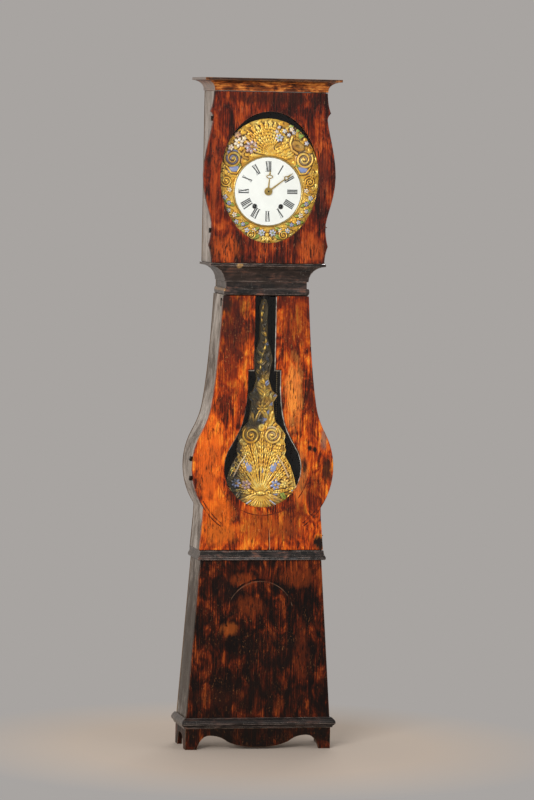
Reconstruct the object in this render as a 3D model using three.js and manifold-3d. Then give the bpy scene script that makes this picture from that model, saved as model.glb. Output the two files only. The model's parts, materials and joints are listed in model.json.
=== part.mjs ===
// A comtoise longcase clock: a violin-fronted softwood case, a pressed brass dial,
// and a two-train cage movement with its pendulum, lines and weights.
// Millimetres, +Z up, the front towards -Y, the origin on the floor at the middle of the base.
import * as THREE from "three";
import { mergeVertices } from "three/addons/utils/BufferGeometryUtils.js";
import Module from "manifold-3d";

const wasm = await Module();
wasm.setup();

// Case heights, from the floor up
const APRON_HEIGHT = 74;
const LOWER_HEIGHT = 588;
const WAIST_HEIGHT = 33;
const TRUNK_HEIGHT = 887;
const NECK_HEIGHT = 110;
const HOOD_HEIGHT = 593;
const CORNICE_HEIGHT = 45;
const LOWER_Z = APRON_HEIGHT;
const WAIST_Z = LOWER_Z + LOWER_HEIGHT;
const TRUNK_Z = WAIST_Z + WAIST_HEIGHT;
const NECK_Z = TRUNK_Z + TRUNK_HEIGHT;
const HOOD_Z = NECK_Z + NECK_HEIGHT;
const CORNICE_Z = HOOD_Z + HOOD_HEIGHT;

// Case widths, each from the middle outwards
const APRON_HALF = 257.5;
const LOWER_TOP_HALF = 214;
const BELLY_RADIUS = 250;
const NECK_HALF = 143.7;
const HOOD_HALF = 196;
const CORNICE_OUT = 44.6;
const BASE_MOULDING_OUT = 16;
const TRUNK_FOOT_OUT = 5;
const NECK_SET_BACK = 6.7;

// Case depths
const CASE_DEPTH = 180;
const HOOD_PROUD = 16;
const CORNICE_PROUD = 46;
const APRON_PROUD = 5;
const BACK_Y = (CASE_DEPTH + HOOD_PROUD + CORNICE_PROUD) / 2;
const TRUNK_FRONT = BACK_Y - CASE_DEPTH;
const HOOD_FRONT = TRUNK_FRONT - HOOD_PROUD;

// Stock and clearances
const BOARD = 16;
const SIDE_BOARD = 12;
const BACK_BOARD = 12;
const HOOD_BOARD = 14;
const FLOOR_BOARD = 14;
const GLASS = 3;
const GAP = 0.3;
const DOOR_CLEAR = 2;
const OVERRUN = 10;
const PANEL_BACK = TRUNK_FRONT + BOARD;
const SIDE_BACK = BACK_Y - BACK_BOARD - GAP;

// Windows, and the rebates that hold their glass
const WINDOW_RADIUS = 138;
const SLOT_HALF = 38.5;
const OVAL_HALF = 174;
const OVAL_HEIGHT = 454;
const REBATE_WIDTH = 7;
const REBATE_DEPTH = 5;
const GLASS_CLEAR = 0.5;

// Facets of round pieces
const CURVE_STEPS = 6;
const ROD_SIDES = 8;
const RING_SIDES = 36;

const X_AXIS = new THREE.Vector3(1, 0, 0);
const Y_AXIS = new THREE.Vector3(0, 1, 0);
const Z_AXIS = new THREE.Vector3(0, 0, 1);

// Solids: closed meshes joined and cut

function toSolid(geometry) {
  const bare = geometry.index ? geometry.toNonIndexed() : geometry.clone();
  bare.deleteAttribute("normal");
  bare.deleteAttribute("uv");
  const merged = mergeVertices(bare, 1e-4);
  return new wasm.Manifold(
    new wasm.Mesh({
      numProp: 3,
      vertProperties: new Float32Array(merged.attributes.position.array),
      triVerts: new Uint32Array(merged.index.array),
    }),
  );
}

function toGeometry(solid) {
  const mesh = solid.getMesh();
  const geometry = new THREE.BufferGeometry();
  geometry.setAttribute("position", new THREE.BufferAttribute(mesh.vertProperties, 3));
  geometry.setIndex(new THREE.BufferAttribute(mesh.triVerts, 1));
  return geometry;
}

function join(...solids) {
  return solids.reduce((whole, piece) => whole.add(piece));
}

function cut(solid, ...tools) {
  return tools.reduce((rest, tool) => rest.subtract(tool), solid);
}

// Outlines: lists of points in a plane, the right half from the bottom up

function point(x, y) {
  return new THREE.Vector2(x, y);
}

function curve(draw, steps = CURVE_STEPS) {
  const path = new THREE.Path();
  draw(path);
  return path.getPoints(steps);
}

function mirrored(half) {
  const left = half.filter((p) => p.x > GAP / 2).map((p) => point(-p.x, p.y));
  return [...half, ...left.reverse()];
}

function flipped(points) {
  return points.map((p) => point(-p.x, p.y)).reverse();
}

// The same line moved outwards, square to itself; its ends keep their heights
function offset(points, distance) {
  return points.map((p, i) => {
    const before = points[Math.max(i - 1, 0)];
    const after = points[Math.min(i + 1, points.length - 1)];
    const along = after.clone().sub(before).normalize();
    const end = i === 0 || i === points.length - 1;
    return point(p.x + along.y * distance, end ? p.y : p.y - along.x * distance);
  });
}

// A closed line grown all round, with its corners mitred
function grown(points, distance) {
  return points.map((p, i) => {
    const before = points[(i + points.length - 1) % points.length];
    const after = points[(i + 1) % points.length];
    const a = p.clone().sub(before).normalize();
    const b = after.clone().sub(p).normalize();
    const normal = point(a.y + b.y, -a.x - b.x);
    const square = 1 + a.dot(b);
    return p.clone().addScaledVector(normal, distance / Math.max(square, 1 / 2));
  });
}

function clamped(points, low, high) {
  return points.map((p) => point(p.x, Math.min(Math.max(p.y, low), high)));
}

function circle(radius, x = 0, y = 0, sides = RING_SIDES) {
  return Array.from({ length: sides }, (_, i) => {
    const turn = (2 * Math.PI * i) / sides;
    return point(x + radius * Math.cos(turn), y + radius * Math.sin(turn));
  });
}

function ellipse(halfWidth, up, down, z) {
  return circle(1).map((p) => point(p.x * halfWidth, z + p.y * (p.y > 0 ? up : down)));
}

// Boards and rods

function extruded(points, depth, holes = []) {
  const shape = new THREE.Shape(points);
  shape.holes = holes.map((hole) => new THREE.Path(hole));
  return new THREE.ExtrudeGeometry(shape, { depth, bevelEnabled: false });
}

function frontBoard(points, front, back, holes = []) {
  const facing = new THREE.Matrix4().makeBasis(X_AXIS, Z_AXIS, Y_AXIS.clone().negate());
  return toSolid(extruded(points, back - front, holes).applyMatrix4(facing).translate(0, back, 0));
}

function sideBoard(points, left, right) {
  const facing = new THREE.Matrix4().makeBasis(Y_AXIS, Z_AXIS, X_AXIS);
  return toSolid(extruded(points, right - left).applyMatrix4(facing).translate(left, 0, 0));
}

function box(x0, x1, y0, y1, z0, z1) {
  const geometry = new THREE.BoxGeometry(x1 - x0, y1 - y0, z1 - z0);
  return toSolid(geometry.translate((x0 + x1) / 2, (y0 + y1) / 2, (z0 + z1) / 2));
}

function rodY(radius, y0, y1, x = 0, z = 0, sides = ROD_SIDES) {
  const geometry = new THREE.CylinderGeometry(radius, radius, y1 - y0, sides);
  return toSolid(geometry.translate(x, (y0 + y1) / 2, z));
}

function rodX(radius, x0, x1, y = 0, z = 0, sides = ROD_SIDES) {
  const geometry = new THREE.CylinderGeometry(radius, radius, x1 - x0, sides);
  return toSolid(geometry.rotateZ(Math.PI / 2).translate((x0 + x1) / 2, y, z));
}

function rodZ(radius, z0, z1, x = 0, y = 0, sides = ROD_SIDES) {
  const geometry = new THREE.CylinderGeometry(radius, radius, z1 - z0, sides);
  return toSolid(geometry.rotateX(Math.PI / 2).translate(x, y, (z0 + z1) / 2));
}

// A turned piece: [radius, height] pairs from the axis out and back to it
function turned(profile, sides = RING_SIDES) {
  const points = profile.map(([radius, height]) => point(radius, height));
  return toSolid(new THREE.LatheGeometry(points, sides).rotateX(Math.PI / 2));
}

// A board that follows a line, from its outer face inwards
function bentBoard(line, thickness, front, back, side) {
  const strip = [...line, ...offset(line, -thickness).reverse()];
  return frontBoard(side > 0 ? strip : flipped(strip), front, back);
}

// A moulding round the front and both sides, mitred at its corners; profile is [offset, z] pairs.
// frontShare is how far each offset stands out at the front, as a share of that at the sides.
function moulding(profile, half, front, back, frontShare = 1) {
  const stations = [
    (out) => [-half - out, back],
    (out) => [-half - out, front - out * frontShare],
    (out) => [half + out, front - out * frontShare],
    (out) => [half + out, back],
  ];
  const rings = stations.map((place) => profile.map(([out, z]) => [...place(out), z]));
  const caps = THREE.ShapeUtils.triangulateShape(profile.map(([out, z]) => point(out, z)), []);
  const triangles = [];
  for (const [a, b, c] of caps) {
    triangles.push(rings[0][a], rings[0][b], rings[0][c]);
    triangles.push(rings[3][c], rings[3][b], rings[3][a]);
  }
  for (let s = 0; s < rings.length - 1; s++)
    for (let i = 0; i < profile.length; i++) {
      const j = (i + 1) % profile.length;
      triangles.push(rings[s][i], rings[s + 1][j], rings[s][j]);
      triangles.push(rings[s][i], rings[s + 1][i], rings[s + 1][j]);
    }
  const geometry = new THREE.BufferGeometry();
  geometry.setAttribute("position", new THREE.Float32BufferAttribute(triangles.flat(), 3));
  return toSolid(geometry);
}

// Finishes

function finish(color, roughness, metalness = 0) {
  return { color, roughness, metalness };
}

const DARK_PINE = finish(0x2a1510, 0.55);
const MOULDING_PINE = finish(0x2a211c, 0.55);
const TRUNK_PINE = finish(0xa0501c, 0.5);
const HOOD_PINE = finish(0x6e2c12, 0.5);
const SIDE_PINE = finish(0x7a736b, 0.7);
const BARE_PINE = finish(0x9a7a52, 0.8);
const WINDOW_GLASS = { ...finish(0xdfe8e6, 0.05), transparent: true, opacity: 0.25 };
const PRESSED_BRASS = finish(0xb8923c, 0.35, 1);
const WHEEL_BRASS = finish(0xb9974e, 0.3, 1);
const ENAMEL = finish(0xf2f1ec, 0.2);
const IRON = finish(0x3c3b3a, 0.55, 1);
const STEEL = finish(0x8c8c8a, 0.3, 1);
const CAST_IRON = finish(0x2f2e2d, 0.75, 1);
const HEMP = finish(0xa08a62, 0.9);

const clock = new THREE.Group();

function subassembly() {
  const group = new THREE.Group();
  clock.add(group);
  return group;
}

function piece(group, name, solid, look) {
  const mesh = new THREE.Mesh(toGeometry(solid), new THREE.MeshStandardMaterial(look));
  mesh.name = name;
  group.add(mesh);
  return mesh;
}

// Case: plinth and lower case

const plinth = subassembly();
const APRON_FRONT = TRUNK_FRONT - APRON_PROUD;
const LOWER_RISE = WAIST_Z - LOWER_Z;

function lowerHalf(z) {
  return APRON_HALF + ((LOWER_TOP_HALF - APRON_HALF) * (z - LOWER_Z)) / LOWER_RISE;
}

// The scalloped skirt between the front feet
function apronOutline() {
  const shares = { dip: 0.272, rise: 0.427, swell: 0.524, shoulder: 0.668, turn: 0.796, foot: 0.845 };
  const heightShares = { dip: 0.095, rise: 0.38, shoulder: 0.66 };
  const across = (share) => APRON_HALF * share;
  const up = (share) => APRON_HEIGHT * share;
  return curve((path) => {
    path.moveTo(0, up(heightShares.dip));
    path.quadraticCurveTo(
      across(shares.dip), up(heightShares.dip),
      across(shares.rise), up(heightShares.rise),
    );
    path.quadraticCurveTo(
      across(shares.swell), up(heightShares.shoulder),
      across(shares.shoulder), up(heightShares.shoulder),
    );
    path.quadraticCurveTo(across(shares.turn), up(heightShares.shoulder), across(shares.foot), 0);
    path.lineTo(APRON_HALF, 0);
    path.lineTo(APRON_HALF, APRON_HEIGHT);
    path.lineTo(0, APRON_HEIGHT);
  });
}

function apronSideOutline() {
  const front = APRON_FRONT;
  const depth = BACK_Y - front;
  const shares = { foot: 0.216, turn: 0.281, rise: 0.454, fall: 0.67, heel: 0.784, arch: 0.66 };
  const height = APRON_HEIGHT * shares.arch;
  const back = (share) => front + depth * share;
  return curve((path) => {
    path.moveTo(front, 0);
    path.lineTo(back(shares.foot), 0);
    path.quadraticCurveTo(back(shares.turn), height, back(shares.rise), height);
    path.lineTo(back(shares.fall), height);
    path.quadraticCurveTo(back(1 - shares.turn), height, back(shares.heel), 0);
    path.lineTo(BACK_Y, 0);
    path.lineTo(BACK_Y, APRON_HEIGHT);
    path.lineTo(front, APRON_HEIGHT);
  });
}

function plinthApron() {
  const front = frontBoard(mirrored(apronOutline()), APRON_FRONT, APRON_FRONT + BOARD);
  const profile = apronSideOutline();
  const right = sideBoard(profile, APRON_HALF - BOARD, APRON_HALF);
  const left = sideBoard(profile, -APRON_HALF, BOARD - APRON_HALF);
  return join(front, right, left);
}

const BASE_MOULDING_HEIGHT = 36;

function baseMoulding() {
  const shares = [
    [0, 0], [0.4, 0], [0.5, 0.17], [0.78, 0.28], [1, 0.4],
    [1, 0.56], [0.8, 0.75], [0.45, 0.9], [0.2, 1], [0, 1],
  ];
  const profile = shares.map(([out, up]) => [
    BASE_MOULDING_OUT * out,
    LOWER_Z + GAP + (BASE_MOULDING_HEIGHT - GAP) * up,
  ]);
  return moulding(profile, lowerHalf(LOWER_Z) + GAP, TRUNK_FRONT - GAP, BACK_Y);
}

function lowerOutline(inset = 0, high = WAIST_Z) {
  const low = LOWER_Z + GAP;
  return mirrored([point(lowerHalf(low) - inset, low), point(lowerHalf(high) - inset, high)]);
}

function lowerSide(side) {
  const line = [point(lowerHalf(LOWER_Z + GAP), LOWER_Z + GAP), point(lowerHalf(WAIST_Z), WAIST_Z)];
  return bentBoard(line, SIDE_BOARD, PANEL_BACK + GAP, SIDE_BACK, side);
}

function lowerFloor() {
  const inset = SIDE_BOARD + 2 * GAP;
  return frontBoard(lowerOutline(inset, LOWER_Z + FLOOR_BOARD), PANEL_BACK + GAP, SIDE_BACK);
}

function lowerBack() {
  const half = trunkHalf("foot");
  const tail = box(-half, half, BACK_Y - BACK_BOARD, BACK_Y, WAIST_Z - GAP, TRUNK_Z - GAP);
  return join(frontBoard(lowerOutline(), BACK_Y - BACK_BOARD, BACK_Y), tail);
}

const WAIST_OUT = 13;

function waistMoulding() {
  const shares = [
    [-1.08, 0], [0.77, 0], [1, 0.09], [1, 0.31], [0.69, 0.49], [0.54, 0.74], [0.46, 1], [-1.08, 1],
  ];
  const profile = shares.map(([out, up]) => [
    WAIST_OUT * out,
    WAIST_Z + GAP + (WAIST_HEIGHT - 2 * GAP) * up,
  ]);
  return moulding(profile, LOWER_TOP_HALF, TRUNK_FRONT, SIDE_BACK);
}

piece(plinth, "plinth_apron", plinthApron(), DARK_PINE);
piece(plinth, "base_moulding", baseMoulding(), MOULDING_PINE);
piece(
  plinth, "lower_front_panel",
  frontBoard(lowerOutline(), TRUNK_FRONT, PANEL_BACK), DARK_PINE,
);
piece(plinth, "lower_left_side", lowerSide(-1), SIDE_PINE);
piece(plinth, "lower_right_side", lowerSide(1), SIDE_PINE);
piece(plinth, "lower_floor_board", lowerFloor(), BARE_PINE);
piece(plinth, "lower_back_board", lowerBack(), BARE_PINE);
piece(plinth, "waist_moulding", waistMoulding(), MOULDING_PINE);

// Case: trunk

const trunk = subassembly();
const BELLY_SHARE = 0.3247;
const BELLY_Z = TRUNK_Z + TRUNK_HEIGHT * BELLY_SHARE;

// Half widths of the trunk: its foot follows the lower case, its top the neck, the rest its belly
function trunkHalf(level) {
  if (level === "foot") return LOWER_TOP_HALF + TRUNK_FOOT_OUT;
  if (level === "top") return NECK_HALF + NECK_SET_BACK;
  const shares = { waist: 0.836, throat: 0.772, slope: 0.739, long: 0.653 };
  return BELLY_RADIUS * shares[level];
}

// The violin outline: straight foot, round belly, long drawn-in shoulders
function trunkLine(low, high) {
  const up = (share) => TRUNK_Z + TRUNK_HEIGHT * share;
  const heightShares = {
    waist: 0.1297, belly: 0.168, shoulder: 0.4622, throat: 0.5133, slope: 0.5682, long: 0.7103,
  };
  const from = Math.asin((up(heightShares.belly) - BELLY_Z) / BELLY_RADIUS);
  const to = Math.asin((up(heightShares.shoulder) - BELLY_Z) / BELLY_RADIUS);
  const line = curve((path) => {
    path.moveTo(trunkHalf("foot"), TRUNK_Z);
    path.lineTo(trunkHalf("waist"), up(heightShares.waist));
    path.absarc(0, BELLY_Z, BELLY_RADIUS, from, to);
    path.quadraticCurveTo(
      trunkHalf("throat"), up(heightShares.throat),
      trunkHalf("slope"), up(heightShares.slope),
    );
    path.quadraticCurveTo(trunkHalf("long"), up(heightShares.long), trunkHalf("top"), NECK_Z);
  });
  return clamped(line, low, high);
}

// The door's window: round at the bottom, drawn in to the slot that runs up to the neck
function windowLine(high) {
  const shares = {
    arcTop: 0.522, throatX: 0.599, throatZ: 0.938, necksX: 0.536, necksZ: 1.188,
    shaftX: 0.4275, bendZ: 1.623, shoulderZ: 2.217, slotZ: 2.478,
  };
  const radius = WINDOW_RADIUS;
  const up = (share) => BELLY_Z + radius * share;
  return curve((path) => {
    path.absarc(0, BELLY_Z, radius, -Math.PI / 2, Math.asin(shares.arcTop));
    path.quadraticCurveTo(
      radius * shares.throatX, up(shares.throatZ),
      radius * shares.necksX, up(shares.necksZ),
    );
    path.quadraticCurveTo(
      radius * shares.shaftX, up(shares.bendZ),
      radius * shares.shaftX, up(shares.shoulderZ),
    );
    path.lineTo(radius * shares.shaftX, up(shares.slotZ));
    path.lineTo(SLOT_HALF, up(shares.slotZ));
    path.lineTo(SLOT_HALF, high);
  });
}

const TRUNK_LOW = TRUNK_Z + GAP;
const TRUNK_HIGH = NECK_Z - GAP;

function trunkSide(side) {
  return bentBoard(trunkLine(TRUNK_LOW, TRUNK_HIGH), SIDE_BOARD, PANEL_BACK + GAP, SIDE_BACK, side);
}

piece(trunk, "trunk_left_side", trunkSide(-1), SIDE_PINE);
piece(trunk, "trunk_right_side", trunkSide(1), SIDE_PINE);
piece(
  trunk, "trunk_back_board",
  frontBoard(mirrored(trunkLine(TRUNK_LOW, TRUNK_HIGH)), BACK_Y - BACK_BOARD, BACK_Y), BARE_PINE,
);

// Case: neck

const neck = subassembly();
const NECK_BOARD = 14;
const NECK_FRONT = TRUNK_FRONT + NECK_SET_BACK;
const ASTRAGAL_HEIGHT = 24;
const ASTRAGAL_OUT = 7.3;
const COVE_HEIGHT = 63;
const COVE_OUT = 61;
const COVE_LIP = 9;
const COVE_PROUD = 1;
const COVE_FOOT_SHARE = 0.075;

function neckFrame() {
  const low = NECK_Z + GAP;
  const high = HOOD_Z - GAP;
  const profile = [[-NECK_BOARD, low], [0, low], [0, high], [-NECK_BOARD, high]];
  return moulding(profile, NECK_HALF, NECK_FRONT, SIDE_BACK);
}

function neckAstragal() {
  const shares = [[0, 0], [0.4, 0], [0.82, 0.13], [1, 0.35], [1, 0.65], [0.82, 0.87], [0.4, 1], [0, 1]];
  const profile = shares.map(([out, up]) => [
    ASTRAGAL_OUT * out,
    NECK_Z + GAP + (ASTRAGAL_HEIGHT - GAP) * up,
  ]);
  return moulding(profile, NECK_HALF + GAP, NECK_FRONT - GAP, SIDE_BACK);
}

// The hollow moulding that carries the hood, wider at the sides than at the front
function neckCove() {
  const low = HOOD_Z - COVE_HEIGHT;
  const high = HOOD_Z - GAP;
  const foot = COVE_OUT * COVE_FOOT_SHARE;
  const profile = [[0, low], [foot, low]];
  for (let i = 1; i <= CURVE_STEPS; i++) {
    const turn = (Math.PI * i) / (2 * CURVE_STEPS);
    profile.push([
      COVE_OUT - (COVE_OUT - foot) * Math.cos(turn),
      low + (COVE_HEIGHT - COVE_LIP) * Math.sin(turn),
    ]);
  }
  profile.push([COVE_OUT, high], [0, high]);
  const frontShare = (NECK_FRONT - HOOD_FRONT + COVE_PROUD) / COVE_OUT;
  return moulding(profile, NECK_HALF + GAP, NECK_FRONT - GAP, SIDE_BACK, frontShare);
}

piece(neck, "neck_frame", neckFrame(), MOULDING_PINE);
piece(neck, "neck_astragal", neckAstragal(), MOULDING_PINE);
piece(neck, "neck_cove", neckCove(), MOULDING_PINE);

// Case: hood

const hood = subassembly();
const HOOD_DOOR_BACK = HOOD_FRONT + BOARD;
const HOOD_TOP_BOARD = 13.7;
const HOOD_INNER = HOOD_HALF - HOOD_BOARD - GAP;
const SEAT_HALF_OPENING = 105;
const SEAT_THICK = 18;
const SEAT_FRONT = -30;

// The window's middle stands a little over the door's; the hands and the seat follow it down
const OVAL_RAISED = 1.5;
const HANDS_BELOW_OVAL = 49;
const SEAT_TO_HANDS = 151;
const OVAL_Z = HOOD_Z + HOOD_HEIGHT / 2 + OVAL_RAISED;
const HANDS_Z = OVAL_Z - HANDS_BELOW_OVAL;
const SEAT_Z = HANDS_Z - SEAT_TO_HANDS;

function hoodSide(side) {
  const line = [point(HOOD_HALF, HOOD_Z), point(HOOD_HALF, CORNICE_Z)];
  return bentBoard(line, HOOD_BOARD, HOOD_DOOR_BACK + GAP, SIDE_BACK, side);
}

function hoodBack() {
  const outline = mirrored([
    point(NECK_HALF, NECK_Z + GAP),
    point(NECK_HALF, HOOD_Z),
    point(HOOD_HALF, HOOD_Z),
    point(HOOD_HALF, CORNICE_Z),
  ]);
  return frontBoard(outline, BACK_Y - BACK_BOARD, BACK_Y);
}

function cornice() {
  const low = CORNICE_Z + GAP;
  const shares = { step: 0.09, coveLow: 0.14, coveHigh: 0.8 };
  const step = CORNICE_OUT * shares.step;
  const coveLow = CORNICE_HEIGHT * shares.coveLow;
  const coveHigh = CORNICE_HEIGHT * shares.coveHigh;
  const profile = [[-HOOD_BOARD, low], [step, low], [step, low + coveLow]];
  for (let i = 1; i <= CURVE_STEPS; i++) {
    const turn = (Math.PI * i) / (2 * CURVE_STEPS);
    profile.push([
      CORNICE_OUT - (CORNICE_OUT - step) * Math.cos(turn),
      low + coveLow + (coveHigh - coveLow) * Math.sin(turn),
    ]);
  }
  profile.push([CORNICE_OUT, low + CORNICE_HEIGHT - GAP], [-HOOD_BOARD, low + CORNICE_HEIGHT - GAP]);
  return moulding(profile, HOOD_HALF, HOOD_FRONT, BACK_Y, CORNICE_PROUD / CORNICE_OUT);
}

function hoodTop() {
  const high = CORNICE_Z - GAP;
  return box(-HOOD_INNER, HOOD_INNER, HOOD_DOOR_BACK + GAP, SIDE_BACK, high - HOOD_TOP_BOARD, high);
}

// The board across the hood that carries the movement, open in front for the pendulum and lines
function seatBoard() {
  const high = SEAT_Z - GAP;
  const board = box(-HOOD_INNER, HOOD_INNER, SEAT_FRONT, SIDE_BACK, high - SEAT_THICK, high);
  const opening = box(
    -SEAT_HALF_OPENING, SEAT_HALF_OPENING,
    SEAT_FRONT - OVERRUN, SIDE_BACK - HOOD_BOARD,
    high - SEAT_THICK - OVERRUN, high + OVERRUN,
  );
  return cut(board, opening);
}

piece(hood, "hood_left_side", hoodSide(-1), SIDE_PINE);
piece(hood, "hood_right_side", hoodSide(1), SIDE_PINE);
piece(hood, "hood_back_board", hoodBack(), BARE_PINE);
piece(hood, "hood_top_board", hoodTop(), BARE_PINE);
piece(hood, "cornice", cornice(), MOULDING_PINE);
piece(hood, "seat_board", seatBoard(), BARE_PINE);

// Doors

const HOOK_PIN_RADIUS = 1.5;
const HOOK_PIN_SEAT = 4;
const HOOK_ARM_THICK = 2.5;
const HOOK_ARM_CLEAR = 2;
const LOW_HOOK_CLEAR = 3;
const HOOD_HOOK_CLEAR = 4;
const HOOK_DROP = 3.45;
const HIGH_HOOK_DROP = 15;
const LOW_HOOK_RISE = 55;
const HOOD_HOOK_SHARE = 0.2209;
const TRUNK_HOOK_HIGH = NECK_Z - HIGH_HOOK_DROP;
const TRUNK_HOOK_LOW = TRUNK_Z + LOW_HOOK_RISE;
const HOOD_HOOK_Z = HOOD_Z + HOOD_HEIGHT * HOOD_HOOK_SHARE;

function halfAt(line, z) {
  const i = line.findIndex((p) => p.y >= z);
  const [below, above] = [line[i - 1], line[i]];
  return below.x + ((above.x - below.x) * (z - below.y)) / (above.y - below.y);
}

function trunkDoorLine() {
  return trunkLine(TRUNK_Z + DOOR_CLEAR, NECK_Z - DOOR_CLEAR);
}

// The hood door's outline: shallow hollows, cusps and one long swell on each side
function hoodDoorLine() {
  const low = HOOD_Z + DOOR_CLEAR;
  const high = CORNICE_Z - DOOR_CLEAR;
  const shares = {
    edge: 1.015, cusp: 1.071, waist: 1.0255, draw: 1.046, swell: 1.189, fall: 1.041, topCusp: 1.082,
  };
  const heightShares = {
    hollow: 0.056, cusp: 0.103, rise: 0.165, waist: 0.233, draw: 0.292, swellIn: 0.385, swell: 0.51,
    swellOut: 0.634, fall: 0.772, waistTop: 0.837, hollowTop: 0.857, topCusp: 0.88, topFall: 0.916,
  };
  const across = (name) => HOOD_HALF * shares[name];
  const up = (name) => HOOD_Z + HOOD_HEIGHT * heightShares[name];
  return curve((path) => {
    path.moveTo(across("edge"), low);
    path.quadraticCurveTo(across("edge"), up("hollow"), across("cusp"), up("cusp"));
    path.quadraticCurveTo(across("edge"), up("rise"), across("waist"), up("waist"));
    path.bezierCurveTo(
      across("draw"), up("draw"), across("swell"), up("swellIn"), across("swell"), up("swell"),
    );
    path.bezierCurveTo(
      across("swell"), up("swellOut"), across("fall"), up("fall"), across("waist"), up("waistTop"),
    );
    path.quadraticCurveTo(across("edge"), up("hollowTop"), across("topCusp"), up("topCusp"));
    path.quadraticCurveTo(across("waist"), up("topFall"), across("edge"), high);
  });
}

// A pin standing out of a door's edge, for a hook to drop in front of
function hookPin(side, edge, plane, doorFront, z) {
  const y = doorFront + BOARD / 2;
  const from = side * (edge - HOOK_PIN_SEAT);
  const to = side * (plane + HOOK_ARM_THICK);
  return rodX(HOOK_PIN_RADIUS, Math.min(from, to), Math.max(from, to), y, z - HOOK_DROP);
}

const trunkDoorEdge = trunkDoorLine();
const hoodDoorEdge = hoodDoorLine();
const HIGH_HOOK_PLANE = halfAt(trunkDoorEdge, TRUNK_HOOK_HIGH) + HOOK_ARM_CLEAR;
const LOW_HOOK_PLANE = halfAt(trunkDoorEdge, TRUNK_HOOK_LOW) + LOW_HOOK_CLEAR;
const HOOD_HOOK_PLANE = halfAt(hoodDoorEdge, HOOD_HOOK_Z) + HOOD_HOOK_CLEAR;

function trunkDoor() {
  const high = NECK_Z + OVERRUN;
  const panel = frontBoard(mirrored(trunkDoorEdge), TRUNK_FRONT, PANEL_BACK);
  const window = frontBoard(mirrored(windowLine(high)), TRUNK_FRONT - OVERRUN, PANEL_BACK + OVERRUN);
  const rebate = frontBoard(
    grown(mirrored(windowLine(high)), REBATE_WIDTH),
    PANEL_BACK - REBATE_DEPTH, PANEL_BACK + OVERRUN,
  );
  const highEdge = halfAt(trunkDoorEdge, TRUNK_HOOK_HIGH);
  const lowEdge = halfAt(trunkDoorEdge, TRUNK_HOOK_LOW);
  const highPin = hookPin(-1, highEdge, HIGH_HOOK_PLANE, TRUNK_FRONT, TRUNK_HOOK_HIGH);
  const lowPin = hookPin(1, lowEdge, LOW_HOOK_PLANE, TRUNK_FRONT, TRUNK_HOOK_LOW);
  return join(cut(panel, window, rebate), highPin, lowPin);
}

// A pane lies in its rebate, clear of the wood all round
function pane(outline, doorBack) {
  const front = doorBack - REBATE_DEPTH + GAP;
  return frontBoard(grown(outline, REBATE_WIDTH - GLASS_CLEAR), front, front + GLASS);
}

function trunkGlass() {
  const grow = REBATE_WIDTH - GLASS_CLEAR;
  return pane(mirrored(windowLine(NECK_Z - 2 * DOOR_CLEAR - grow)), PANEL_BACK);
}

function ovalOutline() {
  return ellipse(OVAL_HALF, OVAL_HEIGHT / 2, OVAL_HEIGHT / 2, OVAL_Z);
}

function hoodDoor() {
  const panel = frontBoard(mirrored(hoodDoorEdge), HOOD_FRONT, HOOD_DOOR_BACK);
  const window = frontBoard(ovalOutline(), HOOD_FRONT - OVERRUN, HOOD_DOOR_BACK + OVERRUN);
  const rebate = frontBoard(
    grown(ovalOutline(), REBATE_WIDTH),
    HOOD_DOOR_BACK - REBATE_DEPTH, HOOD_DOOR_BACK + OVERRUN,
  );
  const pin = hookPin(1, halfAt(hoodDoorEdge, HOOD_HOOK_Z), HOOD_HOOK_PLANE, HOOD_FRONT, HOOD_HOOK_Z);
  return join(cut(panel, window, rebate), pin);
}

const trunkDoors = subassembly();
const hoodDoors = subassembly();
piece(trunkDoors, "trunk_door", trunkDoor(), TRUNK_PINE);
piece(trunkDoors, "trunk_glass", trunkGlass(), WINDOW_GLASS);
piece(hoodDoors, "hood_door", hoodDoor(), HOOD_PINE);
piece(hoodDoors, "hood_glass", pane(ovalOutline(), HOOD_DOOR_BACK), WINDOW_GLASS);

// Hinges: a pintle on the case's side, an eye on the door

const KNUCKLE_RADIUS = 3;
const PINTLE_RADIUS = 1.5;
const EYE_BORE_CLEAR = 0.4;
const KNUCKLE_HEIGHT = 7;
const EYE_HALF = 4.5;
const HINGE_SET = 1.5;
const HINGE_OUT = 4.3;
const STRAP_LENGTH = 30;
const STRAP_THICK = 3;
const TRUNK_HINGE_SPREAD = 34;
const HOOD_HINGE_SHARES = { lower: 0.1956, upper: 0.8449 };

const trunkHinge = { x: -BELLY_RADIUS - HINGE_OUT, y: PANEL_BACK + HINGE_SET, side: BELLY_RADIUS };
const hoodHinge = {
  x: -halfAt(hoodDoorEdge, HOOD_Z + HOOD_HEIGHT * HOOD_HINGE_SHARES.lower) - HINGE_OUT,
  y: HOOD_DOOR_BACK + HINGE_SET,
  side: HOOD_HALF,
};

const trunkCutter = frontBoard(
  grown(mirrored(trunkLine(TRUNK_LOW, TRUNK_HIGH)), GAP),
  TRUNK_FRONT - OVERRUN, BACK_Y,
);
const hoodCutter = join(
  frontBoard(grown(mirrored(hoodDoorEdge), GAP), HOOD_FRONT - OVERRUN, HOOD_DOOR_BACK + GAP),
  box(-HOOD_HALF - GAP, HOOD_HALF, HOOD_DOOR_BACK, BACK_Y, HOOD_Z, CORNICE_Z),
);

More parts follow.
